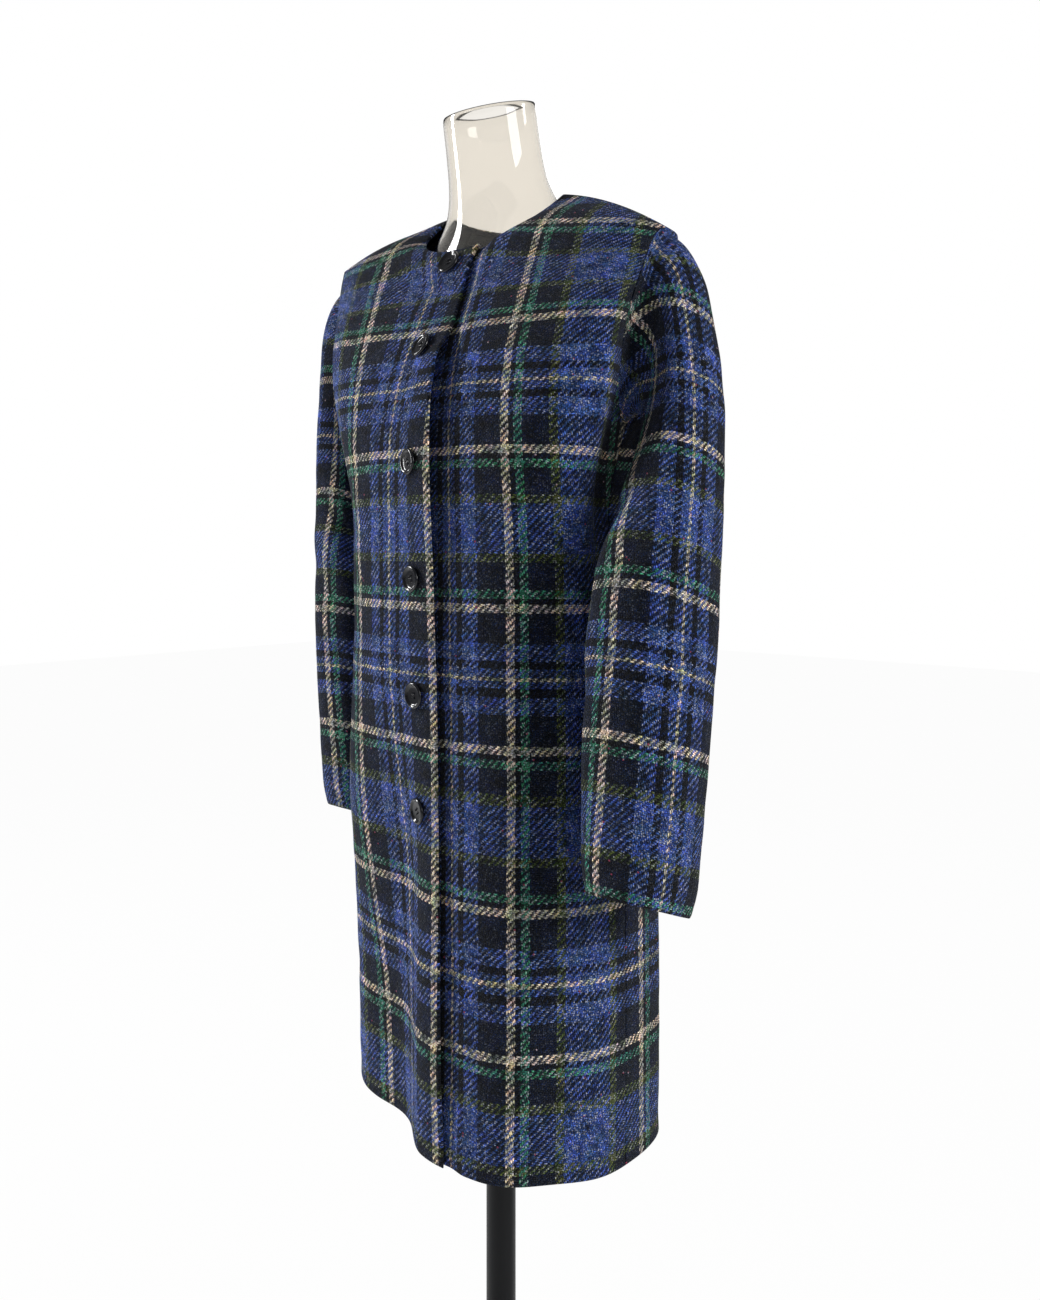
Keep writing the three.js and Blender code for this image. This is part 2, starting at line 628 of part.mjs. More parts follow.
// The neck leans forward, and its rings dip towards the throat.
const neckRings = [
  { height: 1397, side: 73, along: 53, dip: 0.3 },
  { height: 1411, side: 63, along: 52.5, dip: 0.3 },
  { height: 1430, side: 55, along: 52, dip: 0.3 },
  { height: 1456, side: 52, along: 51.5, dip: 0.3 },
  { height: 1483, side: 51, along: 51, dip: 0.28 },
  { height: form.neckTop, side: 51, along: 51, dip: 0.27 },
];

function formNeckPoint(angle, { height, side, along, dip }) {
  const [s, c] = [Math.sin(angle * degrees), Math.cos(angle * degrees)];
  const middleY = -form.lean * (height - neckPointHeight);
  return new THREE.Vector3(side * s, middleY - along * c, height - dip * along * c);
}

const formHeights = [770, 805, 840, 880, 920, 960, 1000, 1040, 1080, 1125, 1170, 1205, 1240, 1272, 1300];
const formShoulderRows = [2.12, 2.3, 2.5, 2.7, 2.88]; // from the armhole's top (2) to the neckline (3)

// The rings of the form's wall, moved inwards by a distance.
function formGrid(inward) {
  const angles = steps(formColumns).slice(0, -1).map((t) => 360 * t);
  const ring = (place) => angles.map(place);
  const rows = [];
  for (const height of formHeights) rows.push(ring((angle) => formBodyPoint(angle, height)));
  for (const v of formShoulderRows) rows.push(ring((angle) => formShoulderPoint(angle, v)));
  for (const neckRing of neckRings) rows.push(ring((angle) => formNeckPoint(angle, neckRing)));
  if (inward === 0) return rows;
  return rows.map((row, r) =>
    row.map((point, c) => {
      const below = rows[Math.max(r - 1, 0)][c];
      const above = rows[Math.min(r + 1, rows.length - 1)][c];
      const round = row[(c + 1) % row.length].clone().sub(row[(c - 1 + row.length) % row.length]);
      const normal = round.cross(above.clone().sub(below)).normalize();
      const moved = point.clone().addScaledVector(normal, -inward);
      if (r === 0) moved.z = point.z + inward;
      return moved;
    }),
  );
}

const formWall = closedWall(formGrid(0), formGrid(form.wall), { wrapped: true, capped: true });
addPiece(coat, "dress_form", formWall, clearResin);

// ---- stand --------------------------------------------------------------------------------
function upright(radius, from, to, segments) {
  const geometry = new THREE.CylinderGeometry(radius, radius, to - from, segments);
  geometry.rotateX(90 * degrees);
  geometry.translate(0, 0, (from + to) / 2);
  return geometry;
}

const plateTop = form.bottom - seamGap;
const plateBottom = plateTop - plate.thickness;
addPiece(coat, "form_plate", upright(plate.radius, plateBottom, plateTop, 32), blackSteel);
addPiece(
  coat,
  "stand_pole",
  upright(pole.radius, base.thickness + seamGap, plateBottom - seamGap, 24),
  blackSteel,
);
addPiece(coat, "stand_base", upright(base.radius, 0, base.thickness, 48), blackSteel);

export default coat;
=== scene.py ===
# A plaid wool coat, buttoned right over left, on a clear dress form with a pole stand.
# Works in millimetres up to the moment a mesh is made. +Z up, the wearer faces -Y, their left is +X.

import math
import bmesh
import bpy
import numpy as np
from functools import partial
from mathutils import Matrix, Vector


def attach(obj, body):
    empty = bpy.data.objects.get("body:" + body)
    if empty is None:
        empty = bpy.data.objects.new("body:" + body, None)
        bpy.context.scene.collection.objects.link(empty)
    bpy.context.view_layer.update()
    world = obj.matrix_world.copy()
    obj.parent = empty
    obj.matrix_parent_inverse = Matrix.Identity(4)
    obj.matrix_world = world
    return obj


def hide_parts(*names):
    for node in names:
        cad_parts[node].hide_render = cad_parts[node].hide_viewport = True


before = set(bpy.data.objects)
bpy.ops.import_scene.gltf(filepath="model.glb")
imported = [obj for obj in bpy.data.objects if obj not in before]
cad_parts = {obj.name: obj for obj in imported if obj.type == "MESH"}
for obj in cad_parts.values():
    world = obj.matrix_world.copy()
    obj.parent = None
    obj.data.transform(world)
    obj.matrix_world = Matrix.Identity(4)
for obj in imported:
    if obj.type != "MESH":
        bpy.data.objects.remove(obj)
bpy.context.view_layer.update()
body = "root"


def rise(start, end, value):
    t = np.clip((value - start) / (end - start), 0, 1)
    return t * t * (3 - 2 * t)


def mix(a, b, t):
    return a + (b - a) * t


def bell(value, centre, width):
    return np.exp(-(((value - centre) / width) ** 2))


def wrapAngle(angle):
    return (angle + 180) % 360 - 180


def signedPower(value, power):
    return np.sign(value) * np.abs(value) ** power


def readTable(keys, values, at):  # a monotone cubic through the rows, which never overshoots
    keys, values = np.array(keys, float), np.array(values, float)
    span = np.diff(keys)
    slope = np.diff(values) / span
    product = slope[:-1] * slope[1:]
    between = np.where(product > 0, 2 * product / np.where(product > 0, slope[:-1] + slope[1:], 1), 0)
    tangent = np.concatenate([slope[:1], between, slope[-1:]])
    at = np.clip(at, keys[0], keys[-1])
    i = np.clip(np.searchsorted(keys, at, "right") - 1, 0, len(span) - 1)
    t = (at - keys[i]) / span[i]
    return (
        (2 * t**3 - 3 * t**2 + 1) * values[i]
        + (t**3 - 2 * t**2 + t) * span[i] * tangent[i]
        + (3 * t**2 - 2 * t**3) * values[i + 1]
        + (t**3 - t**2) * span[i] * tangent[i + 1]
    )


def unit(vectors):
    return vectors / np.maximum(np.linalg.norm(vectors, axis=-1, keepdims=True), 1e-9)


def points(x, y, z):
    return np.stack(np.broadcast_arrays(x, y, z), axis=-1).astype(float)


coat = {
    "wall": 4.0,
    "seamGap": 0.3,
    "hem": 420,
    "neckPoint": 1409,
    "shoulder": 1348,
    "underarm": 1160,
    "neckHalfWidth": 82,
    "neckMiddle": 5,
    "armholeReach": 11,
    "overlap": 30,
    "overlapFlare": 6,
    "flareTop": 800,
    "underlap": 34,
    "closureGap": 1.6,
    "edgeLift": 14,
    "skirtLift": 5,
}
neckShapes = {  # of the front and of the back
    True: {"depth": 74, "drop": 58, "round": 0.75, "dip": 0.75, "centreUnderarm": 1150,
           "centreShoulder": 1300},
    False: {"depth": 60, "drop": 13, "round": 0.86, "dip": 1.2, "centreUnderarm": 1155,
            "centreShoulder": 1335},
}
sections = {  # level sections of the body: reach each way from the pole, and how square the front is
    "height": [420, 560, 700, 800, 950, 1050, 1100, 1140, 1178, 1222, 1258, 1300, 1348],
    "left": [168, 168, 167, 166, 165, 167, 174, 186, 199, 211, 217, 219, 216],
    "right": [212, 207, 193, 186, 177, 177, 182, 195, 210, 226, 235, 239, 237],
    "front": [130, 128, 126, 126, 128, 128, 129, 129, 127, 120, 109, 93, 74],
    "back": [142, 143, 144, 144, 142, 139, 136, 133, 131, 126, 120, 110, 94],
    "squareLeft": [2.2, 2.2, 2.35, 2.45, 2.5, 2.7, 2.9, 2.95, 2.95, 2.95, 2.95, 2.9, 2.9],
    "squareRight": [1.5, 1.7, 2.2, 2.5, 2.4, 2.5, 2.5, 2.5, 2.5, 2.5, 2.5, 2.5, 2.5],
}
backSquareness = 2.3
drapeFolds = [  # angle, width, depth, top, bottom
    (40, 12, 4, 1000, 460),
    (62, 11, -5, 900, 440),
    (-34, 13, -4, 1040, 520),
    (-64, 12, 4, 980, 460),
    (118, 12, 5, 980, 440),
    (146, 13, -6, 1060, 440),
    (178, 14, 4, 1120, 520),
    (-148, 13, -5, 1020, 440),
    (-116, 12, 5, 960, 440),
    (-26, 24, -23, 930, 720),
    (-52, 17, -24, 760, 560),
]
valley = {"depth": 24, "inner": 8, "outer": 20, "bottom": 930, "deepest": 1100, "upper": 1225, "top": 1325}
shoulderLift = {"amount": 0.115, "easing": 60, "start": 1040, "end": 1370}


def section(name, height):
    return readTable(sections["height"], sections[name], height)


def lift(p):
    toRight = np.maximum(0, -p[..., 0])
    share = toRight * toRight / (toRight + shoulderLift["easing"])
    raised = p.copy()
    reached = rise(shoulderLift["start"], shoulderLift["end"], p[..., 2])
    raised[..., 2] += shoulderLift["amount"] * share * reached
    return raised


def sectionPoint(angle, height):
    turn = wrapAngle(angle)
    s, c = np.sin(np.radians(angle)), np.cos(np.radians(angle))
    toLeft, inFront = turn >= 0, np.abs(turn) <= 90
    across = np.where(toLeft, section("left", height), section("right", height))
    along = np.where(inFront, section("front", height), section("back", height))
    frontSquare = np.where(toLeft, section("squareLeft", height), section("squareRight", height))
    square = np.where(inFront, frontSquare, backSquareness)
    out = ((np.abs(s) / across) ** square + (np.abs(c) / along) ** square) ** (-1 / square)
    for foldAngle, width, depth, top, bottom in drapeFolds:
        out = out + depth * (1 - rise(bottom - 40, top, height)) * bell(wrapAngle(turn - foldAngle), 0, width)
    fromSide = np.abs(np.abs(turn) - 90)
    pushed = rise(valley["bottom"], valley["deepest"], height)
    pushed = pushed * (1 - rise(valley["upper"], valley["top"], height))
    out = out - valley["depth"] * pushed * (1 - rise(valley["inner"], valley["outer"], fromSide))
    return points(out * s, -out * c, height)


def sectionNormal(angle, height):
    step = 0.5
    around = sectionPoint(angle + step, height) - sectionPoint(angle - step, height)
    up = sectionPoint(angle, height + step) - sectionPoint(angle, height - step)
    return unit(np.cross(around, up))


# A panel is measured by s, from its centre edge (0) to its side (1), and v, from the hem: 0 to 1 up
# the side seam, 1 to 2 along the armhole and 2 to 3 over the shoulder to the neckline.
def panelPlace(panel, s, v):
    shape = neckShapes[panel["front"]]
    zone = np.minimum(v, 2)
    turn = (zone - 1) * math.pi
    low = zone <= 1
    centre = np.where(low, mix(coat["hem"], shape["centreUnderarm"], zone),
                      mix(shape["centreUnderarm"], shape["centreShoulder"], zone - 1))
    outer = np.where(low, mix(coat["hem"], coat["underarm"], zone),
                     mix(coat["underarm"], coat["shoulder"], (1 - np.cos(turn)) / 2))
    sideAngle = np.where(low, 90, 90 - coat["armholeReach"] * np.sin(turn))
    height = mix(centre, outer, rise(0, 1, s))
    past = panel["past"] + panel["flare"] * (1 - rise(coat["hem"], coat["flareTop"], height))
    centreAngle = -np.degrees(np.arctan2(past, section("front", height))) if panel["past"] else 0
    own = mix(centreAngle, sideAngle, s)
    return panel["side"] * (own if panel["front"] else 180 - own), height


def neckPoint(panel, s):
    shape = neckShapes[panel["front"]]
    roundness = shape["round"]
    centreAngle = -math.degrees(math.asin((panel["past"] / coat["neckHalfWidth"]) ** (1 / roundness)))
    angle = np.radians(mix(centreAngle if panel["past"] else 0, 90, s))
    towards = -1 if panel["front"] else 1
    cosine = np.maximum(np.cos(angle), 0)
    return points(
        panel["side"] * coat["neckHalfWidth"] * signedPower(np.sin(angle), roundness),
        coat["neckMiddle"] + towards * shape["depth"] * cosine**roundness,
        coat["neckPoint"] - shape["drop"] * cosine ** shape["dip"],
    )


yokeBow = {"centre": 3, "side": 9, "forward": 0.5, "up": 0.86}


def flatPoint(panel, s, v):
    angle, height = panelPlace(panel, s, v)
    low = sectionPoint(angle, height)
    t = np.clip(v - 2, 0, None)[..., None] * np.ones_like(low[..., :1])
    point = mix(low, neckPoint(panel, s), t)
    fromCentre = np.abs(np.sin(np.radians(angle)))
    bow = 4 * t[..., 0] * (1 - t[..., 0]) * mix(yokeBow["centre"], yokeBow["side"], rise(0, 0.9, fromCentre))
    forward = (-1 if panel["front"] else 1) * yokeBow["forward"] * (1 - s**3)
    return point + points(0, forward * bow, yokeBow["up"] * bow)


def yokeNormal(panel, s, v):
    step = 0.02
    along = flatPoint(panel, np.minimum(s + step, 1), v) - flatPoint(panel, s - step, v)
    base = np.clip(v, 2, 3 - step)
    up = flatPoint(panel, s, base + step) - flatPoint(panel, s, base)
    normal = unit(np.cross(along, up))
    normal = np.where(normal[..., 2:] < 0, -normal, normal)
    normal[..., 1] *= 1 - rise(0.75, 1, s)
    return unit(normal)


def panelNormal(panel, s, v):
    angle, height = panelPlace(panel, s, v)
    low = sectionNormal(angle, height)
    share = rise(1.7, 2.3, v)[..., None] * np.ones_like(low[..., :1])
    return unit(mix(low, yokeNormal(panel, s, np.maximum(v, 2)), share))


def inset(panel, s, v):
    if not panel["tucked"]:
        return 0
    p = flatPoint(panel, s, v)
    flare = coat["overlapFlare"] * (1 - rise(coat["hem"], coat["flareTop"], p[..., 2]))
    beyond = p[..., 0] - coat["overlap"] - flare
    return (coat["wall"] + coat["closureGap"]) * (1 - rise(2, 26, beyond))


def standOff(panel, s, v):
    if not panel["onTop"]:
        return 0
    low = coat["skirtLift"] * rise(0, 0.15, v)
    return mix(low, coat["edgeLift"], rise(0.62, 1, v)) * (1 - rise(1.45, 1.8, v)) * (1 - rise(0, 0.3, s))


def describePanel(side, front, past=0, flare=0, tucked=False, onTop=False):
    return {"side": side, "front": front, "past": past, "flare": flare, "tucked": tucked, "onTop": onTop}


leftFront = describePanel(1, True, past=coat["underlap"], tucked=True)
rightFront = describePanel(-1, True, past=coat["overlap"], flare=coat["overlapFlare"], onTop=True)
leftBack, rightBack = describePanel(1, False), describePanel(-1, False)


# Rings of a sleeve from the armhole to the cuff: the point nearest the body and the one furthest
# out, the middle's place front to back, how much further out the right sleeve stands, half the
# depth, and how much higher the front edge is.
sleeveRings = {
    "innerX": [178, 185, 190, 190, 190, 188, 184, 176, 171, 170, 171, 173],
    "innerZ": [1166, 1168, 1161, 1147, 1124, 1096, 1060, 1014, 955, 885, 805, 702],
    "outerX": [228, 238, 248, 257, 266, 272, 277, 282, 284, 282, 277, 268],
    "outerZ": [1341, 1324, 1294, 1250, 1196, 1142, 1088, 1028, 960, 887, 804, 702],
    "left": [2, 5, 8, 8, 4, -6, -18, -32, -40, -46, -50, -53],
    "right": [0, 0, 0, 2, 4, 7, 12, 16, 19, 21, 23, 25],
    "out": [24, 29, 29, 26, 21, 16, 13, 13, 14, 17, 20, 24],
    "half": [38, 40, 41, 44, 49, 55, 61, 66, 67, 65, 62, 59],
    "rake": [0, 0, 0, 0, 0, 0, 0, 0, 2, 6, 13, 20],
}
sleeve = {"squareness": 0.93, "tuckDepth": 15, "tuckAround": 104, "tuckWidth": 34, "tuckEnd": 7, "flow": 9,
          "cuffTurn": 4}


ringCount = len(sleeveRings["rake"])


def eitherSide(around, whenFront, whenBack):
    return np.where((around <= 180)[..., None], whenFront, whenBack)


def armhole(side, around, depth):  # a point of the armhole and the cloth's normal there
    around = around % 360
    v = 2 - np.where(around <= 180, around, 360 - around) / 180
    one = np.ones_like(v)
    front = leftFront if side > 0 else rightFront
    back = leftBack if side > 0 else rightBack
    plain = {**front, "past": 0, "flare": 0}
    normal = eitherSide(around, panelNormal(plain, one, v), panelNormal(back, one, v))
    place = eitherSide(around, flatPoint(plain, one, v), flatPoint(back, one, v))
    return lift(place - normal * depth), normal


def armholeOutward(side, around):
    along = armhole(side, around + 2, 0)[0] - armhole(side, around - 2, 0)[0]
    return unit(np.cross(along, armhole(side, around, 0)[1]) * -side)


def sleeveRing(side, around, at):
    keys = np.arange(1, ringCount + 1)
    read = lambda name: readTable(keys, sleeveRings[name], at)
    spread = read("out") if side < 0 else 0
    toTop = signedPower(np.cos(np.radians(around)), sleeve["squareness"])
    toFront = signedPower(np.sin(np.radians(around)), sleeve["squareness"])
    x = mix(read("innerX"), read("outerX"), (1 + toTop) / 2) + spread
    tucked = sleeve["tuckDepth"] * rise(0, 1.5, at) * (1 - rise(3.5, sleeve["tuckEnd"], at))
    y = read("left" if side > 0 else "right") - read("half") * toFront
    y = y + tucked * bell(around % 360, sleeve["tuckAround"], sleeve["tuckWidth"])
    z = mix(read("innerZ"), read("outerZ"), (1 + toTop) / 2) + read("rake") * toFront
    return lift(points(side * x, y, z))


def sleeveSurface(side, around, at):
    seam = armhole(side, around, 0)[0]
    out = (coat["seamGap"] + sleeve["flow"] * np.minimum(at, 1.5))[..., None]
    seam = seam + armholeOutward(side, around) * out
    share = rise(0, 3, at)[..., None]
    return mix(seam, sleeveRing(side, around, np.maximum(at, 1)), share)


# Where the stripes run: how far round the body a point lies from the centre front, along the cloth.
arcStart, arcStep = 400, 10
arcHeights = np.arange(arcStart, 1361, float(arcStep))
arcAngles = np.arange(-180, 181, 1.0)
arcPoints = sectionPoint(*np.meshgrid(arcAngles, arcHeights))
arcTable = np.cumsum(np.linalg.norm(np.diff(arcPoints, axis=1), axis=-1), axis=1)
arcTable = np.concatenate([np.zeros((len(arcHeights), 1)), arcTable], axis=1)
arcTable -= arcTable[:, [180]]


def arcAlong(angle, height):
    row = np.clip((height - arcStart) / arcStep, 0, len(arcHeights) - 1.001)
    column = np.clip(angle + 180, 0, 359.999)
    r, c = row.astype(int), column.astype(int)
    low = mix(arcTable[r, c], arcTable[r, c + 1], column - c)
    return mix(low, mix(arcTable[r + 1, c], arcTable[r + 1, c + 1], column - c), row - r)


# The plaid's cream bars sit at these heights on the fronts, and this far up the cloth.
plaid = {
    "repeat": 293.8,
    "frontHeights": [420, 544, 684, 842, 978, 1134, 1258, 1367, 1420],
    "frontPlaces": [-711.6, -587.6, -450.6, -293.8, -156.8, 0, 137, 292, 350],
    "leftSleeve": [(0, -443.8), (150, -293.8), (285, -156.8), (430, 0), (563, 137), (713, 287)],
    "rightSleeve": [(0, -398.8), (105, -293.8), (242, -156.8), (385, 0), (521, 137), (671, 287)],
    "frontPivot": 42.5,
    "sleevePivot": 27.5,
    "upPivot": 68.5,
    "shoulderRise": 27,
    "sideDroop": 5,
    "edgeLean": 30,
    "chestBar": 1134,
    "backStretch": 1.05,
    "yokeStretch": 1.04,
}


def clothCoordinates(panel, s, v):  # metres across and up the cloth, from the middle of a thin bar
    angle, height = panelPlace(panel, s, v)
    side = panel["side"]
    if panel["front"]:
        across = arcAlong(angle, height)
        up = readTable(plaid["frontHeights"], plaid["frontPlaces"], height)
        up = up + plaid["shoulderRise"] * rise(0.5, 1, s) * rise(1258, 1348, height)
        up = up + plaid["sideDroop"] * rise(0.3, 1, s) * bell(height, plaid["chestBar"], 90)
        pivot = plaid["frontPivot"] * side
        if side < 0:  # the cream bar runs off the edge toward the neck
            across = across - plaid["edgeLean"] * rise(1100, 1360, height) * (1 - rise(0.35, 0.85, s))
    else:
        across = arcAlong(np.abs(wrapAngle(angle)) * side, height)
        across = across - arcAlong(180.0 * side * np.ones_like(height), height)
        up = readTable(plaid["frontHeights"], plaid["frontPlaces"], np.minimum(height, plaid["chestBar"]))
        up = up + plaid["backStretch"] * np.maximum(height - plaid["chestBar"], 0)
        pivot = 0
    past = np.maximum(v - 2, 0)
    here, start = flatPoint(panel, s, v), flatPoint(panel, s, np.minimum(v, 2))
    up = up + np.linalg.norm((here - start)[..., 1:], axis=-1)
    neckAcross = plaid["yokeStretch"] * neckPoint(panel, s)[..., 0] * (1 if panel["front"] else -1)
    across = mix(across, neckAcross, past)
    return np.stack([across - pivot, up - plaid["upPivot"]], axis=-1) / 1000


def crowded(length, spacing):  # places along a length, closer at its ends
    ends, last = np.array([0, 0.3, 0.9, 1.7, 2.8]), 4.4
    middle = np.linspace(last, length - last, max(2, round((length - 2 * last) / spacing)))
    return np.concatenate([ends, middle, length - ends[::-1]])


def gridNormals(grid, wrapped=False):
    if wrapped:
        around = np.roll(grid[:, :-1], -1, axis=1) - np.roll(grid[:, :-1], 1, axis=1)
        around = np.concatenate([around, around[:, :1]], axis=1)
    else:
        around = np.gradient(grid, axis=1)
    return unit(np.cross(around, np.gradient(grid, axis=0)))


softness = {"seed": 7, "waves": 14, "height": 0.3}


def softUneven(place):  # the slight unevenness of heavy cloth, in mm, from places in metres
    random = np.random.default_rng(softness["seed"])
    total = 0
    for _ in range(softness["waves"]):
        length, turn, start = random.uniform(0.035, 0.12), random.uniform(0, math.pi), random.uniform(0, 6.3)
        along = place[..., 0] * math.cos(turn) + place[..., 1] * math.sin(turn)
        total = total + np.sin(along * 2 * math.pi / length + start)
    return softness["height"] * total / math.sqrt(softness["waves"])


def creased(place, creases):  # place in mm; each crease runs between two points with a width and a depth
    total = np.zeros(place.shape[:-1])
    for startX, startY, endX, endY, width, depth in creases:
        a, b = np.array([startX, startY]), np.array([endX, endY])
        along = np.clip(((place - a) @ (b - a)) / ((b - a) @ (b - a)), 0, 1)
        away = np.linalg.norm(place - a - along[..., None] * (b - a), axis=-1)
        total = total + depth * np.exp(-((away / width) ** 2)) * np.sin(np.pi * mix(0.12, 0.88, along))
    return total


def edgeDepths(distances):  # outer and inner depth of a wall that closes round its edges and seams
    thickness = coat["wall"]
    outer = np.zeros(np.broadcast(*[d for d, _, _ in distances]).shape)
    inner = outer + thickness
    for distance, radius, sink in distances:
        full = np.sqrt(1 - (1 - np.clip(distance / radius, 0, 1)) ** 2)
        outer = np.maximum(outer, sink * (1 - full))
        inner = np.minimum(inner, thickness - (thickness - sink) * (1 - full))
    return outer, inner


freeEdge = (3.2, 2.0)  # radius and where the two faces meet, measured in from the outer one
sewnEdge = (2.2, 1.3)


def addObject(name, data):
    item = bpy.data.objects.new(name, data)
    bpy.context.collection.objects.link(item)
    return item


def buildShell(name, outer, inner, cloth, materials, innerKind, wrapped=False):
    rows, columns = outer.shape[:2]
    last = columns - 1 if wrapped else columns
    index = np.arange(rows * last).reshape(rows, last)
    outerIndex = np.concatenate([index, index[:, :1]], axis=1) if wrapped else index
    innerIndex = outerIndex + rows * last
    innerIndex[[0, -1], :] = outerIndex[[0, -1], :]
    if not wrapped:
        innerIndex[:, [0, -1]] = outerIndex[:, [0, -1]]
    places = np.concatenate([outer[:, :last].reshape(-1, 3), inner[:, :last].reshape(-1, 3)]) / 1000

    def corners(grid):
        return np.stack([grid[:-1, :-1], grid[:-1, 1:], grid[1:, 1:], grid[1:, :-1]], axis=2)

    outerFaces = corners(outerIndex).reshape(-1, 4)
    innerFaces = corners(innerIndex).reshape(-1, 4)[:, ::-1]
    faces = np.concatenate([outerFaces, innerFaces])
    maps = np.stack([corners(cloth[..., i]).reshape(-1, 4) for i in (0, 1)], axis=-1)
    maps = np.concatenate([maps, maps[:, ::-1]])
    used, faces = np.unique(faces, return_inverse=True)
    faces = faces.reshape(-1, 4)
    mesh = bpy.data.meshes.new(name)
    mesh.from_pydata(places[used].tolist(), [], faces.tolist())
    layer = mesh.uv_layers.new(name="clothMap")
    layer.data.foreach_set("uv", maps.reshape(-1))
    for material in materials:
        mesh.materials.append(material)
    kinds = np.concatenate([np.zeros(len(outerFaces), int), corners(innerKind)[..., 0].reshape(-1)])
    mesh.polygons.foreach_set("material_index", kinds.astype(np.int32))
    mesh.polygons.foreach_set("use_smooth", np.ones(len(faces), bool))
    mesh.update()
    return addObject(name, mesh)


def finishPiece(piece, slotName, *nodes):
    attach(piece, body)
    if nodes:
        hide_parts(*nodes)
    return piece


def addNode(tree, kind, inputs=None, **settings):
    node = tree.nodes.new(kind)
    for key, value in settings.items():
        setattr(node, key, value)
    for key, value in (inputs or {}).items():
        if isinstance(value, bpy.types.NodeSocket):
            tree.links.new(value, node.inputs[key])
        else:
            node.inputs[key].default_value = value
    return node


def addNoise(tree, place, scale, detail, roughness=0.5, flat=False):
    inputs = {"Vector": place, "Scale": scale, "Detail": detail, "Roughness": roughness}
    return addNode(tree, "ShaderNodeTexNoise", inputs, noise_dimensions="2D" if flat else "3D").outputs


def addSurface(tree, inputs):
    shader = addNode(tree, "ShaderNodeBsdfPrincipled", inputs)
    addNode(tree, "ShaderNodeOutputMaterial", {"Surface": shader.outputs[0]})


def addBump(tree, height, distance, strength=1.0):
    inputs = {"Height": height, "Distance": distance, "Strength": strength}
    return addNode(tree, "ShaderNodeBump", inputs).outputs[0]


def makeMaterial(name, onCloth=False):
    material = bpy.data.materials.new(name)
    material.use_nodes = True
    tree = material.node_tree
    tree.nodes.clear()
    if onCloth:
        return material, tree, addNode(tree, "ShaderNodeUVMap", uv_map="clothMap").outputs[0]
    return material, tree, addNode(tree, "ShaderNodeTexCoord").outputs["Object"]


def calculate(tree, operation, *values, clamp=False):
    inputs = dict(enumerate(values))
    return addNode(tree, "ShaderNodeMath", inputs, operation=operation, use_clamp=clamp).outputs[0]


def calculateVector(tree, operation, *values):
    return addNode(tree, "ShaderNodeVectorMath", dict(enumerate(values)), operation=operation).outputs[0]


def scaleColour(tree, colour, amount):
    return addNode(tree, "ShaderNodeVectorMath", {0: colour, "Scale": amount}, operation="SCALE").outputs[0]


def blend(tree, amount, first, second):
    return addNode(tree, "ShaderNodeMix", {0: amount, 6: first, 7: second}, data_type="RGBA").outputs[2]


def hexColour(text):
    parts = [int(text[i : i + 2], 16) / 255 for i in (0, 2, 4)]
    return (*[c / 12.92 if c <= 0.04045 else ((c + 0.055) / 1.055) ** 2.4 for c in parts], 1.0)


def newGroup(name, inputs, outputs):
    group = bpy.data.node_groups.new(name, "ShaderNodeTree")
    kinds = {"Color": "NodeSocketColor", "Vector": "NodeSocketVector"}
    for direction, labels in (("INPUT", inputs), ("OUTPUT", dict.fromkeys(outputs))):
        for label, value in labels.items():
            kind = kinds.get(label, "NodeSocketFloat")
            socket = group.interface.new_socket(name=label, in_out=direction, socket_type=kind)
            if value is not None:
                socket.default_value = value
    return group, group.nodes.new("NodeGroupInput").outputs, group.nodes.new("NodeGroupOutput").inputs


def useGroup(tree, group, inputs):
    return addNode(tree, "ShaderNodeGroup", inputs, node_tree=group).outputs


yarnColours = {
    "blue": "4667bb",
    "navy": "0b1b37",
    "black": "040912",
    "cream": "fff1d6",
    "green": "459a7c",
    "olive": "5d6c3a",
}
# From the middle of a thin bar outwards, in mm: where each colour begins.
settOrder = [
    (0, "cream"), (2.0, "blue"), (9.5, "black"), (17, "blue"), (34.8, "navy"), (64.4, "cream"),
    (73.2, "black"), (78.8, "green"), (86.9, "navy"), (112.9, "olive"), (121.9, "blue"),
]


# A pair of numbers is what a noise or a light value is multiplied by and what is added.
tweedLook = {"yarn": 0.00175, "contrast": 0.95, "wobble": 0.0024, "warpOnTop": (0.88, -0.44),
             "hairs": (0.9, 0.05), "paintedGapShade": (1.0, 0.12), "tuftScale": 60.0, "gritScale": 360.0,
             "tuftShade": (3.6, -0.8), "gritShade": (3.6, -0.76), "hueSpan": (1.5, 0.9, 1.6),
             "hueStart": (0.25, 0.55, 0.2), "bump": 0.0013, "sparkle": 0.6, "sparkleScale": 430.0,
             "sparkleSize": 0.36, "sparkleLight": (6.0, 0.03), "paintedGlintColour": "e2e6f2", "speck": 0.004,
             "speckScale": 330.0, "speckSize": 0.32, "speckColour": "b04a68", "sheen": 0.08}


def stripeGroup():  # the colour of the yarn that lies a distance along the plaid's repeat
    group, source, result = newGroup("plaid stripes", {"Along": 0.0}, ["Color"])
    half = plaid["repeat"] / 2000
    folded = calculate(group, "PINGPONG", source["Along"], half)
    ramp = addNode(group, "ShaderNodeValToRGB", {0: calculate(group, "DIVIDE", folded, half)})
    stops = ramp.color_ramp
    stops.interpolation = "CONSTANT"
    while len(stops.elements) < len(settOrder):
        stops.elements.new(0.5)
    for element, (start, colour) in zip(stops.elements, settOrder):
        element.position = start * 2 / plaid["repeat"]
        element.color = hexColour(yarnColours[colour])
    group.links.new(ramp.outputs["Color"], result["Color"])
    return group


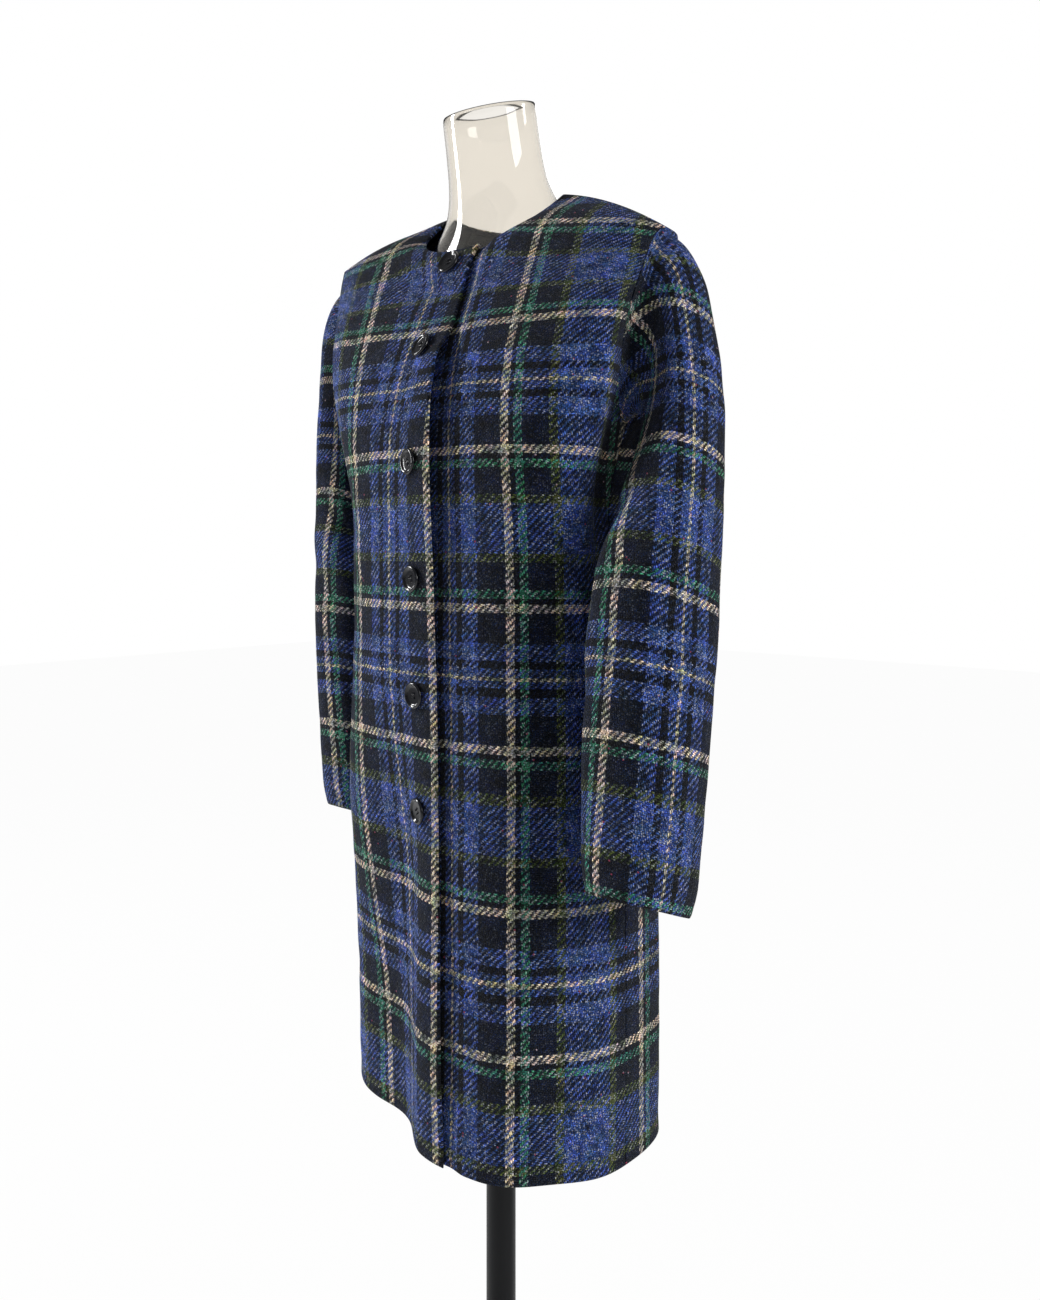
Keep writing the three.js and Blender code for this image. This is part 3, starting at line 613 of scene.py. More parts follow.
def heatherGroup():  # breaks a plain yarn colour into lighter and darker fibres
    inputs = {"Color": None, "Vector": None, "Strength": 0.5, "Scale": 900.0}
    group, source, result = newGroup("heather", inputs, ["Color", "Shade"])
    noise = addNoise(group, source["Vector"], source["Scale"], 2.0)
    shade = calculate(group, "SUBTRACT", noise[0], 0.5)
    shade = calculate(group, "MULTIPLY", shade, source["Strength"])
    shade = calculate(group, "MULTIPLY_ADD", shade, 4.0, 1.0)
    group.links.new(scaleColour(group, source["Color"], shade), result["Color"])
    group.links.new(shade, result["Shade"])
    return group


def twillGroup(stripes, heather):  # a two-and-two twill of thick yarns, striped both ways
    inputs = {"Vector": None, "Yarn": 0.00175, "Contrast": 0.5}
    group, source, result = newGroup("plaid twill", inputs, ["Color", "Height"])
    work, look = partial(calculate, group), tweedLook
    yarn = source["Yarn"]
    wobble = addNoise(group, source["Vector"], 160.0, 1.0, flat=True)
    moved = calculateVector(group, "SUBTRACT", wobble["Color"], (0.5, 0.5, 0.5))
    wobbles = (look["wobble"], look["wobble"], 0.0)
    moved = calculateVector(group, "MULTIPLY_ADD", moved, wobbles, source["Vector"])
    place = addNode(group, "ShaderNodeSeparateXYZ", {0: moved})
    across = work("DIVIDE", place.outputs[0], yarn)
    up = work("DIVIDE", place.outputs[1], yarn)
    warpNumber = work("FLOOR", across)
    weftNumber = work("FLOOR", up)
    order = work("SUBTRACT", weftNumber, warpNumber)
    order = work("FLOORED_MODULO", order, 4.0)
    warpOnTop = work("LESS_THAN", order, 1.5)
    sides = []
    for number, along, start in ((warpNumber, up, 0.0), (weftNumber, across, 1.0)):
        other = across if along is up else up
        width = work("SUBTRACT", other, number)
        width = work("SINE", work("MULTIPLY", width, math.pi))
        run = work("SUBTRACT", work("SUBTRACT", along, number), start)
        run = work("FLOORED_MODULO", run, 4.0)
        run = work("SINE", work("MULTIPLY", run, math.pi / 2))
        run = work("POWER", work("MAXIMUM", run, 0.0), 0.5)
        dome = work("MULTIPLY", work("POWER", width, 0.6), run)
        middle = work("MULTIPLY", work("ADD", number, 0.5), yarn)
        colour = useGroup(group, stripes, {"Along": middle})["Color"]
        grain = addNode(group, "ShaderNodeCombineXYZ", {
            0: other, 1: work("MULTIPLY", along, 0.35), 2: work("MULTIPLY", number, 7.3)})
        colour = useGroup(group, heather, {"Color": colour, "Vector": grain.outputs[0],
                          "Strength": source["Contrast"], "Scale": 1.1})["Color"]
        sides.append((colour, dome))
    hairs = addNoise(group, source["Vector"], 640.0, 2.0, flat=True)
    warpShare = work("MULTIPLY_ADD", warpOnTop, *look["warpOnTop"])
    frayed = work("MULTIPLY_ADD", hairs[0], *look["hairs"])
    warpShare = work("ADD", warpShare, frayed, clamp=True)
    colour = blend(group, warpShare, sides[1][0], sides[0][0])
    height = addNode(group, "ShaderNodeMix", {0: warpOnTop, 2: sides[1][1], 3: sides[0][1]},
                     data_type="FLOAT").outputs[0]
    # painted shade: the colour darkens with the yarn's height, deepest in the gaps between yarns
    shade = work("MULTIPLY_ADD", height, *look["paintedGapShade"])
    group.links.new(scaleColour(group, colour, shade), result["Color"])
    group.links.new(height, result["Height"])
    return group


def fleckGroup():  # small bright specks strewn over the cloth
    inputs = {"Vector": None, "Scale": 420.0, "Share": 0.1, "Size": 0.3}
    group, source, result = newGroup("strewn flecks", inputs, ["Mask", "Random"])
    cells = addNode(group, "ShaderNodeTexVoronoi", {
        "Vector": source["Vector"], "Scale": source["Scale"]}, voronoi_dimensions="2D")
    parts = addNode(group, "ShaderNodeSeparateColor", {0: cells.outputs["Color"]})
    chosen = calculate(group, "LESS_THAN", parts.outputs[0], source["Share"])
    near = calculate(group, "LESS_THAN", cells.outputs["Distance"], source["Size"])
    group.links.new(calculate(group, "MULTIPLY", chosen, near), result["Mask"])
    group.links.new(parts.outputs[1], result["Random"])
    return group


stripes = stripeGroup()
heather = heatherGroup()
twill = twillGroup(stripes, heather)
flecks = fleckGroup()


def tweedMaterial():
    material, tree, place = makeMaterial("plaid tweed", onCloth=True)
    work, look = partial(calculate, tree), tweedLook
    cloth = useGroup(tree, twill, {"Vector": place, "Yarn": look["yarn"], "Contrast": look["contrast"]})
    colour = cloth["Color"]
    tufts = addNoise(tree, place, look["tuftScale"], 5.0, roughness=0.7, flat=True)
    grit = addNoise(tree, place, look["gritScale"], 3.0, roughness=0.7, flat=True)
    worn = work("MULTIPLY_ADD", tufts[0], *look["tuftShade"])
    gritty = work("MULTIPLY_ADD", grit[0], *look["gritShade"])
    worn = work("MULTIPLY", worn, gritty)
    hues = calculateVector(tree, "MULTIPLY_ADD", tufts["Color"], look["hueSpan"], look["hueStart"])
    colour = scaleColour(tree, calculateVector(tree, "MULTIPLY", colour, hues), worn)
    speck = useGroup(tree, flecks, {"Vector": place, "Scale": look["speckScale"],
                     "Share": look["speck"], "Size": look["speckSize"]})
    colour = blend(tree, speck["Mask"], colour, hexColour(look["speckColour"]))
    # painted highlight: pale glints strewn over the cloth, stronger on lighter yarns; their roughness is
    # lowered too
    spark = useGroup(tree, flecks, {"Vector": place, "Scale": look["sparkleScale"],
                     "Share": look["sparkle"], "Size": look["sparkleSize"]})
    light = addNode(tree, "ShaderNodeRGBToBW", {0: colour}).outputs[0]
    light = work("MULTIPLY_ADD", light, *look["sparkleLight"], clamp=True)
    lit = work("MULTIPLY", spark["Mask"], spark["Random"])
    lit = work("MULTIPLY", lit, light)
    colour = blend(tree, lit, colour, hexColour(look["paintedGlintColour"]))
    fuzz = addNoise(tree, place, 1400.0, 2.0, flat=True)
    height = work("MULTIPLY_ADD", fuzz[0], 0.45, cloth["Height"])
    bump = addBump(tree, height, look["bump"], 0.9)
    rough = work("MULTIPLY_ADD", lit, -0.5, 0.92)
    addSurface(tree, {
        "Base Color": colour, "Roughness": rough, "Normal": bump, "Sheen Weight": look["sheen"],
        "Sheen Roughness": 0.5, "Specular IOR Level": 0.2})
    return material


def liningMaterial(name, colour, weave, gloss):
    material, tree, place = makeMaterial(name, onCloth=True)
    waves = []
    for direction in ("X", "Y"):
        wave = addNode(tree, "ShaderNodeTexWave", {"Vector": place, "Scale": weave, "Distortion": 1.2,
                       "Detail": 1.0}, bands_direction=direction)
        waves.append(wave.outputs["Fac"])
    threads = calculate(tree, "MULTIPLY", *waves)
    tint = useGroup(tree, heather, {"Color": hexColour(colour), "Vector": place, "Strength": 0.18,
                    "Scale": 260.0})
    bump = addBump(tree, threads, 0.0003, 0.5)
    rough = calculate(tree, "MULTIPLY_ADD", tint["Shade"], 0.12, gloss)
    addSurface(tree, {
        "Base Color": tint["Color"], "Roughness": rough, "Normal": bump,
        "Sheen Weight": 0.08, "Specular IOR Level": 0.3})
    return material


def resinMaterial():
    material, tree, place = makeMaterial("dark button resin")
    cloud = addNoise(tree, place, 130.0, 4.0)
    colour = blend(tree, cloud[0], hexColour("090a0e"), hexColour("1d2029"))
    rough = calculate(tree, "MULTIPLY_ADD", cloud[0], 0.12, 0.1)
    addSurface(tree, {
        "Base Color": colour, "Roughness": rough, "IOR": 1.54, "Coat Weight": 0.4, "Coat Roughness": 0.05})
    return material


def threadMaterial():
    material, tree, place = makeMaterial("button thread")
    twist = addNode(tree, "ShaderNodeTexWave", {"Vector": place, "Scale": 900.0, "Distortion": 1.0},
                    bands_direction="DIAGONAL")
    # painted shade: the thread is darker in the grooves of its twist
    colour = blend(tree, twist.outputs["Fac"], hexColour("05060a"), hexColour("1a2036"))
    bump = addBump(tree, twist.outputs["Fac"], 0.0002)
    addSurface(tree, {"Base Color": colour, "Roughness": 0.6, "Normal": bump})
    return material


def acrylicMaterial():
    material, tree, place = makeMaterial("clear acrylic")
    ripple = addNoise(tree, place, 9.0, 1.0)
    scuffs = addNoise(tree, place, 60.0, 4.0)
    bump = addBump(tree, ripple[0], 0.0012, 0.6)
    rough = calculate(tree, "MULTIPLY_ADD", scuffs[0], 0.06, 0.01)
    addSurface(tree, {
        "Base Color": hexColour("f5f1ea"), "Roughness": rough, "Normal": bump,
        "IOR": 1.49, "Transmission Weight": 1.0})
    return material


def steelMaterial():
    material, tree, place = makeMaterial("black satin steel")
    grain = addNoise(tree, place, 700.0, 2.0)
    rubs = addNoise(tree, place, 18.0, 5.0)
    colour = blend(tree, rubs[0], hexColour("0d0e10"), hexColour("1c1d20"))
    rough = calculate(tree, "MULTIPLY_ADD", rubs[0], 0.3, 0.22)
    bump = addBump(tree, grain[0], 0.0002, 0.4)
    addSurface(tree, {"Base Color": colour, "Roughness": rough, "Metallic": 0.5, "Normal": bump})
    return material


tweedCloth = tweedMaterial()
liningCloth = liningMaterial("navy lining", "141b33", 420.0, 0.36)
facingCloth = liningMaterial("dark facing", "0d1222", 300.0, 0.72)
buttonResin = resinMaterial()
buttonThread = threadMaterial()
clearAcrylic = acrylicMaterial()
satinSteel = steelMaterial()
print("materials made")


panelLength, frontWidth, backWidth = 1050, 285, 265  # nominal spans of a panel's grid, in mm
sleeveLength, sleeveGirth = 640, 400
bands = {"edge": 78, "hem": 38, "neck": 46, "cuff": 34}  # tweed turned in along each edge
panelRows = crowded(panelLength, 4.6)
# The panel's rows pass the underarm and the shoulder on their way from the hem to the neck.
panelHeights = np.interp(panelRows, [0, 740, 930, panelLength], [0, 1, 2, 3])
frontColumns = crowded(frontWidth, 4.4)
backColumns = crowded(backWidth, 4.4)


def surfaceOf(panel, s, v):
    out = standOff(panel, s, v) - inset(panel, s, v)
    place = flatPoint(panel, s, v) + panelNormal(panel, s, v) * (out * np.ones_like(s))[..., None]
    pinned = (s == 1) & ((v <= 1) | (v >= 2))
    place[..., 1] += np.where(pinned, (-1 if panel["front"] else 1) * coat["seamGap"] / 2, 0)
    return lift(place)


# Listed creases: start and end (across from the centre front, height), width, depth. Those
# of the back are measured from its own centre.
frontCreases = [
    (150, 1120, 120, 960, 20, -3.0),
    (190, 1080, 176, 780, 17, 2.4),
    (95, 1010, 70, 760, 26, -1.8),
    (205, 900, 196, 640, 16, -2.6),
    (120, 760, 128, 470, 24, 2.2),
    (60, 640, 66, 430, 20, -1.6),
    (-150, 1110, -128, 950, 20, -2.6),
    (-195, 1040, -186, 760, 18, 2.2),
    (-90, 1060, -100, 860, 22, -1.6),
    (-150, 800, -158, 560, 20, -2.4),
    (120, 1290, 176, 1190, 14, -1.6),
    (-118, 1300, -170, 1200, 15, -1.8),
]
backCreases = [
    (140, 1150, 96, 960, 22, -3.0),
    (-150, 1160, -104, 930, 20, -2.6),
    (40, 1080, 52, 720, 26, 2.0),
    (-60, 980, -52, 640, 24, -2.2),
    (180, 900, 172, 560, 18, 2.4),
    (-176, 860, -180, 500, 20, 2.0),
    (0, 820, 8, 460, 26, -2.0),
    (96, 720, 104, 440, 20, -1.6),
]


def dressed(place, cloth, around, height, creases, hold):
    push = softUneven(cloth) + creased(np.stack([around, height], axis=-1), creases)
    return place + gridNormals(place) * (push * hold)[..., None]


def walls(place, outerDepth, innerDepth, wrapped=False):
    normals = gridNormals(place, wrapped)
    return place - normals * outerDepth[..., None], place - normals * innerDepth[..., None]


def bandMask(*distances):  # 0 where the inside is turned tweed, 1 where it is lined
    turned = np.zeros(np.broadcast(*[d for d, _ in distances]).shape, bool)
    for distance, width in distances:
        turned = turned | (distance < width)
    return np.where(turned, 0, 1)


def closeCloth(name, place, cloth, edges, nodes, wrapped=False):
    # Each edge is a distance from it, how the wall closes there and how much tweed is turned in.
    outer, inner = walls(place, *edgeDepths([(away, *kind) for away, kind, _ in edges]), wrapped)
    inside = bandMask(*[(away, band) for away, _, band in edges])
    piece = buildShell(name, outer, inner, cloth, [tweedCloth, liningCloth], inside, wrapped)
    return finishPiece(piece, "tweed", *nodes)


def joinHalves(halves):
    return [np.concatenate([left[:, ::-1], right[:, 1:]], axis=1) for left, right in zip(*halves)]


def makeFront(name, panel, *nodes):
    s, v = np.meshgrid(frontColumns / frontWidth, panelHeights)
    place = surfaceOf(panel, s, v)
    angle, height = panelPlace(panel, s, v)
    cloth = clothCoordinates(panel, s, v)
    hold = 1 - rise(1.9, 2.3, v)
    place = dressed(place, cloth, arcAlong(angle, height), height, frontCreases, hold * panel["side"])
    if panel["side"] < 0:
        place, cloth, s = place[:, ::-1], cloth[:, ::-1], s[:, ::-1]
    fromEdge, fromSide = s * frontWidth, (1 - s) * frontWidth
    fromHem = panelRows[:, None] * np.ones_like(s)
    fromNeck = panelLength - fromHem
    return closeCloth(name, place, cloth, [
        (fromEdge, freeEdge, bands["edge"]), (fromHem, freeEdge, bands["hem"]),
        (fromNeck, freeEdge, bands["neck"]), (fromSide, sewnEdge, 0)], nodes)


def makeBack(name, *nodes):
    s, v = np.meshgrid(backColumns / backWidth, panelHeights)
    halves = []
    for panel in (leftBack, rightBack):
        place = surfaceOf(panel, s, v)
        height = panelPlace(panel, s, v)[1]
        cloth = clothCoordinates(panel, s, v)
        halves.append((place, cloth, height, s))
    place, cloth, height, share = joinHalves(halves)
    rows = v[:, :1] * np.ones_like(share)
    hold = 1 - rise(1.9, 2.3, rows)
    place = dressed(place, cloth, cloth[..., 0] * 1000, height, backCreases, hold)
    fromSide = (1 - share) * backWidth
    fromHem = panelRows[:, None] * np.ones_like(share)
    fromNeck = panelLength - fromHem
    return closeCloth(name, place, cloth, [
        (fromHem, freeEdge, bands["hem"]), (fromNeck, freeEdge, 0), (fromSide, sewnEdge, 0)], nodes)


facing = {"thickness": 1.5, "depth": 0.55, "reach": 0.72, "gap": 0.6, "top": 2.97, "halfLength": 150,
          "height": 120}


def makeFacing(name, *nodes):
    s, v = np.meshgrid(np.linspace(0, facing["reach"], 46),
                       np.linspace(3 - facing["depth"], facing["top"], 22))
    halves = []
    for panel in (leftBack, rightBack):
        normals = panelNormal(panel, s, v)
        place = lift(flatPoint(panel, s, v) - normals * (coat["wall"] + facing["gap"]))
        halves.append((place, clothCoordinates(panel, s, v), s))
    place, cloth, share = joinHalves(halves)
    fromEnds = (facing["reach"] - share) * facing["halfLength"]
    rows = v[:, :1] * np.ones_like(share)
    fromTop = (facing["top"] - rows) * facing["height"]
    fromBottom = (rows - 3 + facing["depth"]) * facing["height"]
    nearest = np.minimum(np.minimum(fromEnds, fromTop), fromBottom)
    full = np.sqrt(1 - (1 - np.clip(nearest / 2.0, 0, 1)) ** 2)
    half = facing["thickness"] / 2
    outer, inner = walls(place, half * (1 - full), half * (1 + full))
    piece = buildShell(name, outer, inner, cloth, [facingCloth], np.zeros(share.shape, int))
    return finishPiece(piece, "facing_cloth", *nodes)


sleeveRows = crowded(sleeveLength, 4.4)
sleeveCreases = {  # around in degrees from the top (+ front), ring, then width in mm and depth
    1: [(70, 6.2, 150, 7.2, 15, -4.0), (60, 7.4, 128, 8.6, 14, -3.0), (-20, 8.4, 60, 9.2, 16, -2.4),
        (95, 9.2, 160, 10.2, 15, -3.0), (-70, 6.4, -140, 8.0, 18, -3.4), (-60, 9.0, -120, 10.6, 16, -2.6),
        (10, 5.2, 40, 7.6, 20, 1.8), (30, 10.4, 80, 11.4, 15, -2.0)],
    -1: [(75, 6.4, 150, 7.4, 15, -3.6), (50, 8.0, 120, 9.0, 15, -2.8), (90, 9.6, 150, 10.6, 15, -2.6),
         (-80, 6.6, -140, 8.2, 18, -3.4), (-50, 9.2, -110, 10.8, 16, -2.4), (-10, 7.6, 40, 8.6, 18, -1.8)],
}


def girthOf(degrees):
    return degrees / 360 * sleeveGirth


def lengthOf(rings):
    return rings / ringCount * sleeveLength


def makeSleeve(name, side, *nodes):
    rings = sleeveRows / sleeveLength * ringCount
    around = 180 + crowded(sleeveGirth, 4.4) / sleeveGirth * 360
    turn, at = np.meshgrid(around, rings)
    place = sleeveSurface(side, turn, at)
    place[:, -1] = place[:, 0]
    seg = np.linalg.norm(np.diff(place, axis=1), axis=-1)
    across = np.concatenate([np.zeros((len(rings), 1)), np.cumsum(seg, axis=1)], axis=1)
    top = np.argmin(np.abs(around - 360))
    across = across - across[:, [top]]
    down = np.linalg.norm(np.diff(place, axis=0), axis=-1)
    fromCuff = np.concatenate([np.cumsum(down[::-1], axis=0)[::-1], np.zeros((1, len(around)))])
    table = plaid["leftSleeve" if side > 0 else "rightSleeve"]
    up = np.interp(fromCuff, *zip(*table))
    cloth = np.stack([(across - plaid["sleevePivot"]) * -side, up - plaid["upPivot"]], axis=-1) / 1000
    spread = np.stack([girthOf(turn - 360), lengthOf(at)], axis=-1)
    creases = [(girthOf(a), lengthOf(b), girthOf(c), lengthOf(d), width, depth)
               for a, b, c, d, width, depth in sleeveCreases[side]]
    push = creased(spread, creases)
    uneven = softUneven(cloth) * np.sin(np.radians(turn - 180) / 2) ** 0.5
    push = push * rise(0.6, 3, at) + uneven * rise(0, 1, at)
    push = push - sleeve["cuffTurn"] * rise(11.6, ringCount, at) ** 2
    normals = gridNormals(place, True) * side
    place = place + normals * push[..., None]
    place[:, -1] = place[:, 0]
    if side < 0:
        place, cloth = place[:, ::-1], cloth[:, ::-1]
    fromSeam, fromEnd = lengthOf(at), lengthOf(ringCount - at)
    return closeCloth(name, place, cloth, [
        (fromSeam, sewnEdge, 0), (fromEnd, freeEdge, bands["cuff"])], nodes, wrapped=True)


def nodePlace(node):  # the middle and the outward axis of a flat disc of the model
    corners = np.array([vertex.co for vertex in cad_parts[node].data.vertices])
    low, high = corners.min(0), corners.max(0)
    axis = np.linalg.svd(corners - corners.mean(0), full_matrices=False)[2][2]
    axis = axis * (-1 if axis[1] > 0 else 1)
    return (low + high) / 2, axis


def joinRings(bm, low, high, flipped=False):
    count = max(len(low), len(high))
    for i in range(count):
        j = (i + 1) % count
        if len(low) == 1:
            bm.faces.new((low[0], high[j], high[i]))
        elif len(high) == 1:
            bm.faces.new((low[i], low[j], high[0]))
        elif flipped:
            bm.faces.new((low[j], low[i], high[i], high[j]))
        else:
            bm.faces.new((low[i], low[j], high[j], high[i]))


def lathe(name, profile, segments, material):  # profile in mm: out from the axis, up
    mesh = bpy.data.meshes.new(name)
    bm = bmesh.new()
    rings = []
    for out, up in profile:
        if out < 1e-6:
            rings.append([bm.verts.new((0, 0, up / 1000))])
            continue
        turns = [2 * math.pi * i / segments for i in range(segments)]
        rings.append([bm.verts.new((out * math.cos(t) / 1000, out * math.sin(t) / 1000, up / 1000))
                      for t in turns])
    for low, high in zip(rings[:-1], rings[1:]):
        joinRings(bm, low, high)
    bmesh.ops.recalc_face_normals(bm, faces=bm.faces)
    bm.to_mesh(mesh)
    bm.free()
    mesh.materials.append(material)
    piece = addObject(name, mesh)
    mesh.shade_smooth()
    mesh.set_sharp_from_angle(angle=0.6)
    return piece


def bar(radius, low, high):  # the profile of a plain upright cylinder
    return [(0, low), (radius, low), (radius, high), (0, high)]


def rounded(profile, radius, steps=4):  # rounds the corners of a profile
    result = [profile[0]]
    for before, here, after in zip(profile[:-2], profile[1:-1], profile[2:]):
        here, before, after = np.array(here, float), np.array(before, float), np.array(after, float)
        toBefore, toAfter = before - here, after - here
        reach = min(radius, np.linalg.norm(toBefore) / 2, np.linalg.norm(toAfter) / 2)
        a = here + toBefore / np.linalg.norm(toBefore) * reach
        b = here + toAfter / np.linalg.norm(toAfter) * reach
        for i in range(steps + 1):
            t = i / steps
            result.append(tuple((1 - t) ** 2 * a + 2 * t * (1 - t) * here + t * t * b))
    return result + [profile[-1]]


button = {"count": 6, "radius": 13.5, "thickness": 4.2, "rim": 2.6, "slope": 1.7, "dish": 1.9, "hole": 1.2,
          "circle": 3.2, "turns": [8, -14, 21, 4, -9, 16]}


def applyModifiers(piece):
    view = bpy.context.evaluated_depsgraph_get()
    made = bpy.data.meshes.new_from_object(piece.evaluated_get(view))
    old = piece.data
    piece.modifiers.clear()
    piece.data = made
    bpy.data.meshes.remove(old)


def makeButton(number):
    look = button
    r, top = look["radius"], look["thickness"]
    inner = r - look["rim"] - look["slope"]
    floor = top - look["dish"]
    profile = [(0, 0), (r - 1.8, 0), (r, 1.7), (r, top - 1.3), (r - 1.2, top), (r - look["rim"], top - 0.3),
               (inner, floor), (inner * 0.5, floor - 0.15), (0, floor - 0.2)]
    piece = lathe(f"coat_button_{number}", rounded(profile, 0.8), 72, buttonResin)
    cutter = []
    for quarter in range(4):
        turn = math.radians(45 + 90 * quarter)
        hole = lathe("hole", bar(look["hole"], -3, 9), 20, buttonResin)
        hole.location = (look["circle"] * math.cos(turn) / 1000, look["circle"] * math.sin(turn) / 1000, 0)
        cutter.append(hole)
        cut = piece.modifiers.new("hole", "BOOLEAN")
        cut.operation, cut.solver, cut.object = "DIFFERENCE", "EXACT", hole
    bpy.context.view_layer.update()
    applyModifiers(piece)
    for hole in cutter:
        bpy.data.objects.remove(hole)
    threads = []
    for side in (-1, 1):
        for twist in (-0.28, 0.3):
            reach = look["circle"] * math.sqrt(0.5)
            path = [(-reach, -2.2), (-reach * 0.93, 0.1), (-reach * 0.4, 0.75), (reach * 0.4, 0.8),
                    (reach * 0.93, 0.1), (reach, -2.2)]
            route = [Vector((x, side * reach + twist * (1 if i % 2 else -1), floor + z + 0.1 * twist))
                     for i, (x, z) in enumerate(path)]
            threads.append(tube(f"thread_{number}_{len(threads)}", route, 0.42, buttonThread))
    middle, axis = nodePlace(f"button_{number}")
    turn = Vector((0, 0, 1)).rotation_difference(Vector(axis)).to_matrix().to_4x4()
    spin = Matrix.Rotation(math.radians(look["turns"][number - 1]), 4, "Z")
    start = Vector(middle) - Vector(axis) * (look["thickness"] / 2000)
    for item in (piece, *threads):
        item.matrix_world = Matrix.Translation(start) @ turn @ spin
    finishPiece(piece, "button_resin", f"button_{number}")
    for item in threads:
        finishPiece(item, "button_resin")


def tube(name, route, radius, material):  # a bent thread through points in mm
    curve = bpy.data.curves.new(name, "CURVE")
    curve.dimensions, curve.bevel_depth, curve.bevel_resolution = "3D", radius / 1000, 3
    spline = curve.splines.new("NURBS")
    spline.points.add(len(route) - 1)
    for point, place in zip(spline.points, route):
        point.co = (*(place / 1000), 1)
    spline.use_endpoint_u, spline.order_u = True, 4
    curve.use_fill_caps = True
    curve.materials.append(material)
    return addObject(name, curve)


formSections = {
    "height": [770, 840, 920, 1000, 1080, 1170, 1240, 1300],
    "side": [146, 150, 138, 122, 128, 141, 150, 172],
    "front": [98, 104, 100, 92, 100, 111, 98, 75],
    "back": [108, 116, 104, 86, 90, 102, 104, 92],
}
formNeck = {
    "height": [1397, 1411, 1430, 1456, 1483, 1510],
    "side": [73, 63, 55, 52, 51, 51],
    "along": [53, 52.5, 52, 51.5, 51, 51],
    "dip": [0.3, 0.3, 0.3, 0.3, 0.28, 0.27],
}
form = {"wall": 3, "columns": 56, "squareness": 2.2, "lean": 0.19, "centre": 15, "ridge": 1.0,
        "start": 0.7, "end": 1,
        "heights": [770, 772, 780, 805, 840, 880, 920, 960, 1000, 1040, 1080, 1125, 1170, 1205, 1240, 1272,
                    1300],
        "shoulders": [2.12, 2.3, 2.5, 2.7, 2.88]}


def formRows():
    angle = np.arange(form["columns"]) * 360 / form["columns"]
    s, c = np.sin(np.radians(angle)), np.cos(np.radians(angle))
    rows, square = [], form["squareness"]
    for height in form["heights"]:
        read = lambda key: readTable(formSections["height"], formSections[key], height)
        along = np.where(c > 0, read("front"), read("back"))
        reach = ((np.abs(s) / read("side")) ** square + (np.abs(c) / along) ** square) ** (-1 / square)
        rows.append(points(reach * s, -reach * c, np.full_like(s, height)))
    turn = wrapAngle(angle)
    for v in form["shoulders"]:
        row = np.zeros((len(angle), 3))
        for side in (1, -1):
            for front in (True, False):
                here = ((turn >= 0) == (side > 0)) & ((np.abs(turn) <= 90) == front)
                share = np.where(front, np.abs(turn), 180 - np.abs(turn))[here] / 90
                panel = describePanel(side, front)
                vv = np.full_like(share, v)
                clear = mix(form["centre"], form["ridge"], rise(form["start"], form["end"], share))
                place = flatPoint(panel, share, vv)
                row[here] = lift(place - panelNormal(panel, share, vv) * (coat["wall"] + clear)[..., None])
        rows.append(row)
    for i, height in enumerate(formNeck["height"]):
        side, along, dip = (formNeck[key][i] for key in ("side", "along", "dip"))
        middle = -form["lean"] * (height - coat["neckPoint"])
        rows.append(points(side * s, middle - along * c, height - dip * along * c))
    return np.array(rows)


def makeForm(name, *nodes):
    outer = formRows()
    around = np.roll(outer, -1, axis=1) - np.roll(outer, 1, axis=1)
    normals = unit(np.cross(around, np.gradient(outer, axis=0)))
    inner = outer - normals * form["wall"]
    inner[:2, :, 2] = outer[:2, :, 2] + form["wall"]
    mesh = bpy.data.meshes.new(name)
    bm = bmesh.new()
    layers = [[[bm.verts.new(p / 1000) for p in row] for row in layer] for layer in (outer, inner)]
    for kind, layer in enumerate(layers):
        for low, high in zip(layer[:-1], layer[1:]):
            joinRings(bm, low, high, flipped=kind == 1)
    joinRings(bm, layers[0][-1], layers[1][-1])
    for kind, layer in enumerate(layers):  # the closed underside, ring by ring to its middle
        ring = layer[0]
        middle = sum((vertex.co for vertex in ring), Vector()) / len(ring)
        for share in (0.97, 0.66, 0.33):
            new = [bm.verts.new(middle.lerp(vertex.co, share)) for vertex in layer[0]]
            joinRings(bm, new, ring, flipped=kind == 1)
            ring = new
        bm.faces.new(list(reversed(ring)) if kind == 0 else ring)
    bm.to_mesh(mesh)
    bm.free()
    mesh.materials.append(clearAcrylic)
    piece = addObject(name, mesh)
    smooth = piece.modifiers.new("smooth", "SUBSURF")
    smooth.levels = smooth.render_levels = 2
    bpy.context.view_layer.update()
    applyModifiers(piece)
    piece.data.shade_smooth()
    return finishPiece(piece, "clear_acrylic", *nodes)


stand = {"poleRadius": 16, "baseRadius": 165, "baseThickness": 10, "plateRadius": 62, "plateThickness": 8}


def makeStand():
    look, gap = stand, coat["seamGap"]
    plateTop = form["heights"][0] - gap
    plateLow = plateTop - look["plateThickness"]
    r, t = look["baseRadius"], look["baseThickness"]
    disc = rounded([(0, 0), (r, 0), (r, t), (r - 22, t), (26, t), (0, t)], 2.6, 6)
    pole = rounded(bar(look["poleRadius"], t + gap, plateLow - gap), 0.8)
    seat = rounded(bar(look["plateRadius"], plateLow, plateTop), 1.6)
    for name, profile, segments, node in (("round_base", disc, 160, "stand_base"),
                                          ("upright_pole", pole, 96, "stand_pole"),
                                          ("form_seat", seat, 128, "form_plate")):
        finishPiece(lathe(name, profile, segments, satinSteel), "stand_metal", node)


print("cloth starts")
frontLeft = makeFront("front_left", leftFront, "left_front")
frontRight = makeFront("front_right", rightFront, "right_front")
backPiece = makeBack("coat_back", "back")
facingPiece = makeFacing("neck_facing", "back_neck_facing")
sleeveLeft = makeSleeve("sleeve_left", 1, "left_sleeve")
sleeveRight = makeSleeve("sleeve_right", -1, "right_sleeve")
print("cloth made")
for number in range(1, button["count"] + 1):
    makeButton(number)
print("buttons made")
makeForm("clear_form", "dress_form")
makeStand()
print("form and stand made")


studio = {"worldStrength": 0.13, "floorGlow": 0.97, "floor": "f4f4f3", "keyPower": 64, "fillPower": 42,
          "backPower": 16}


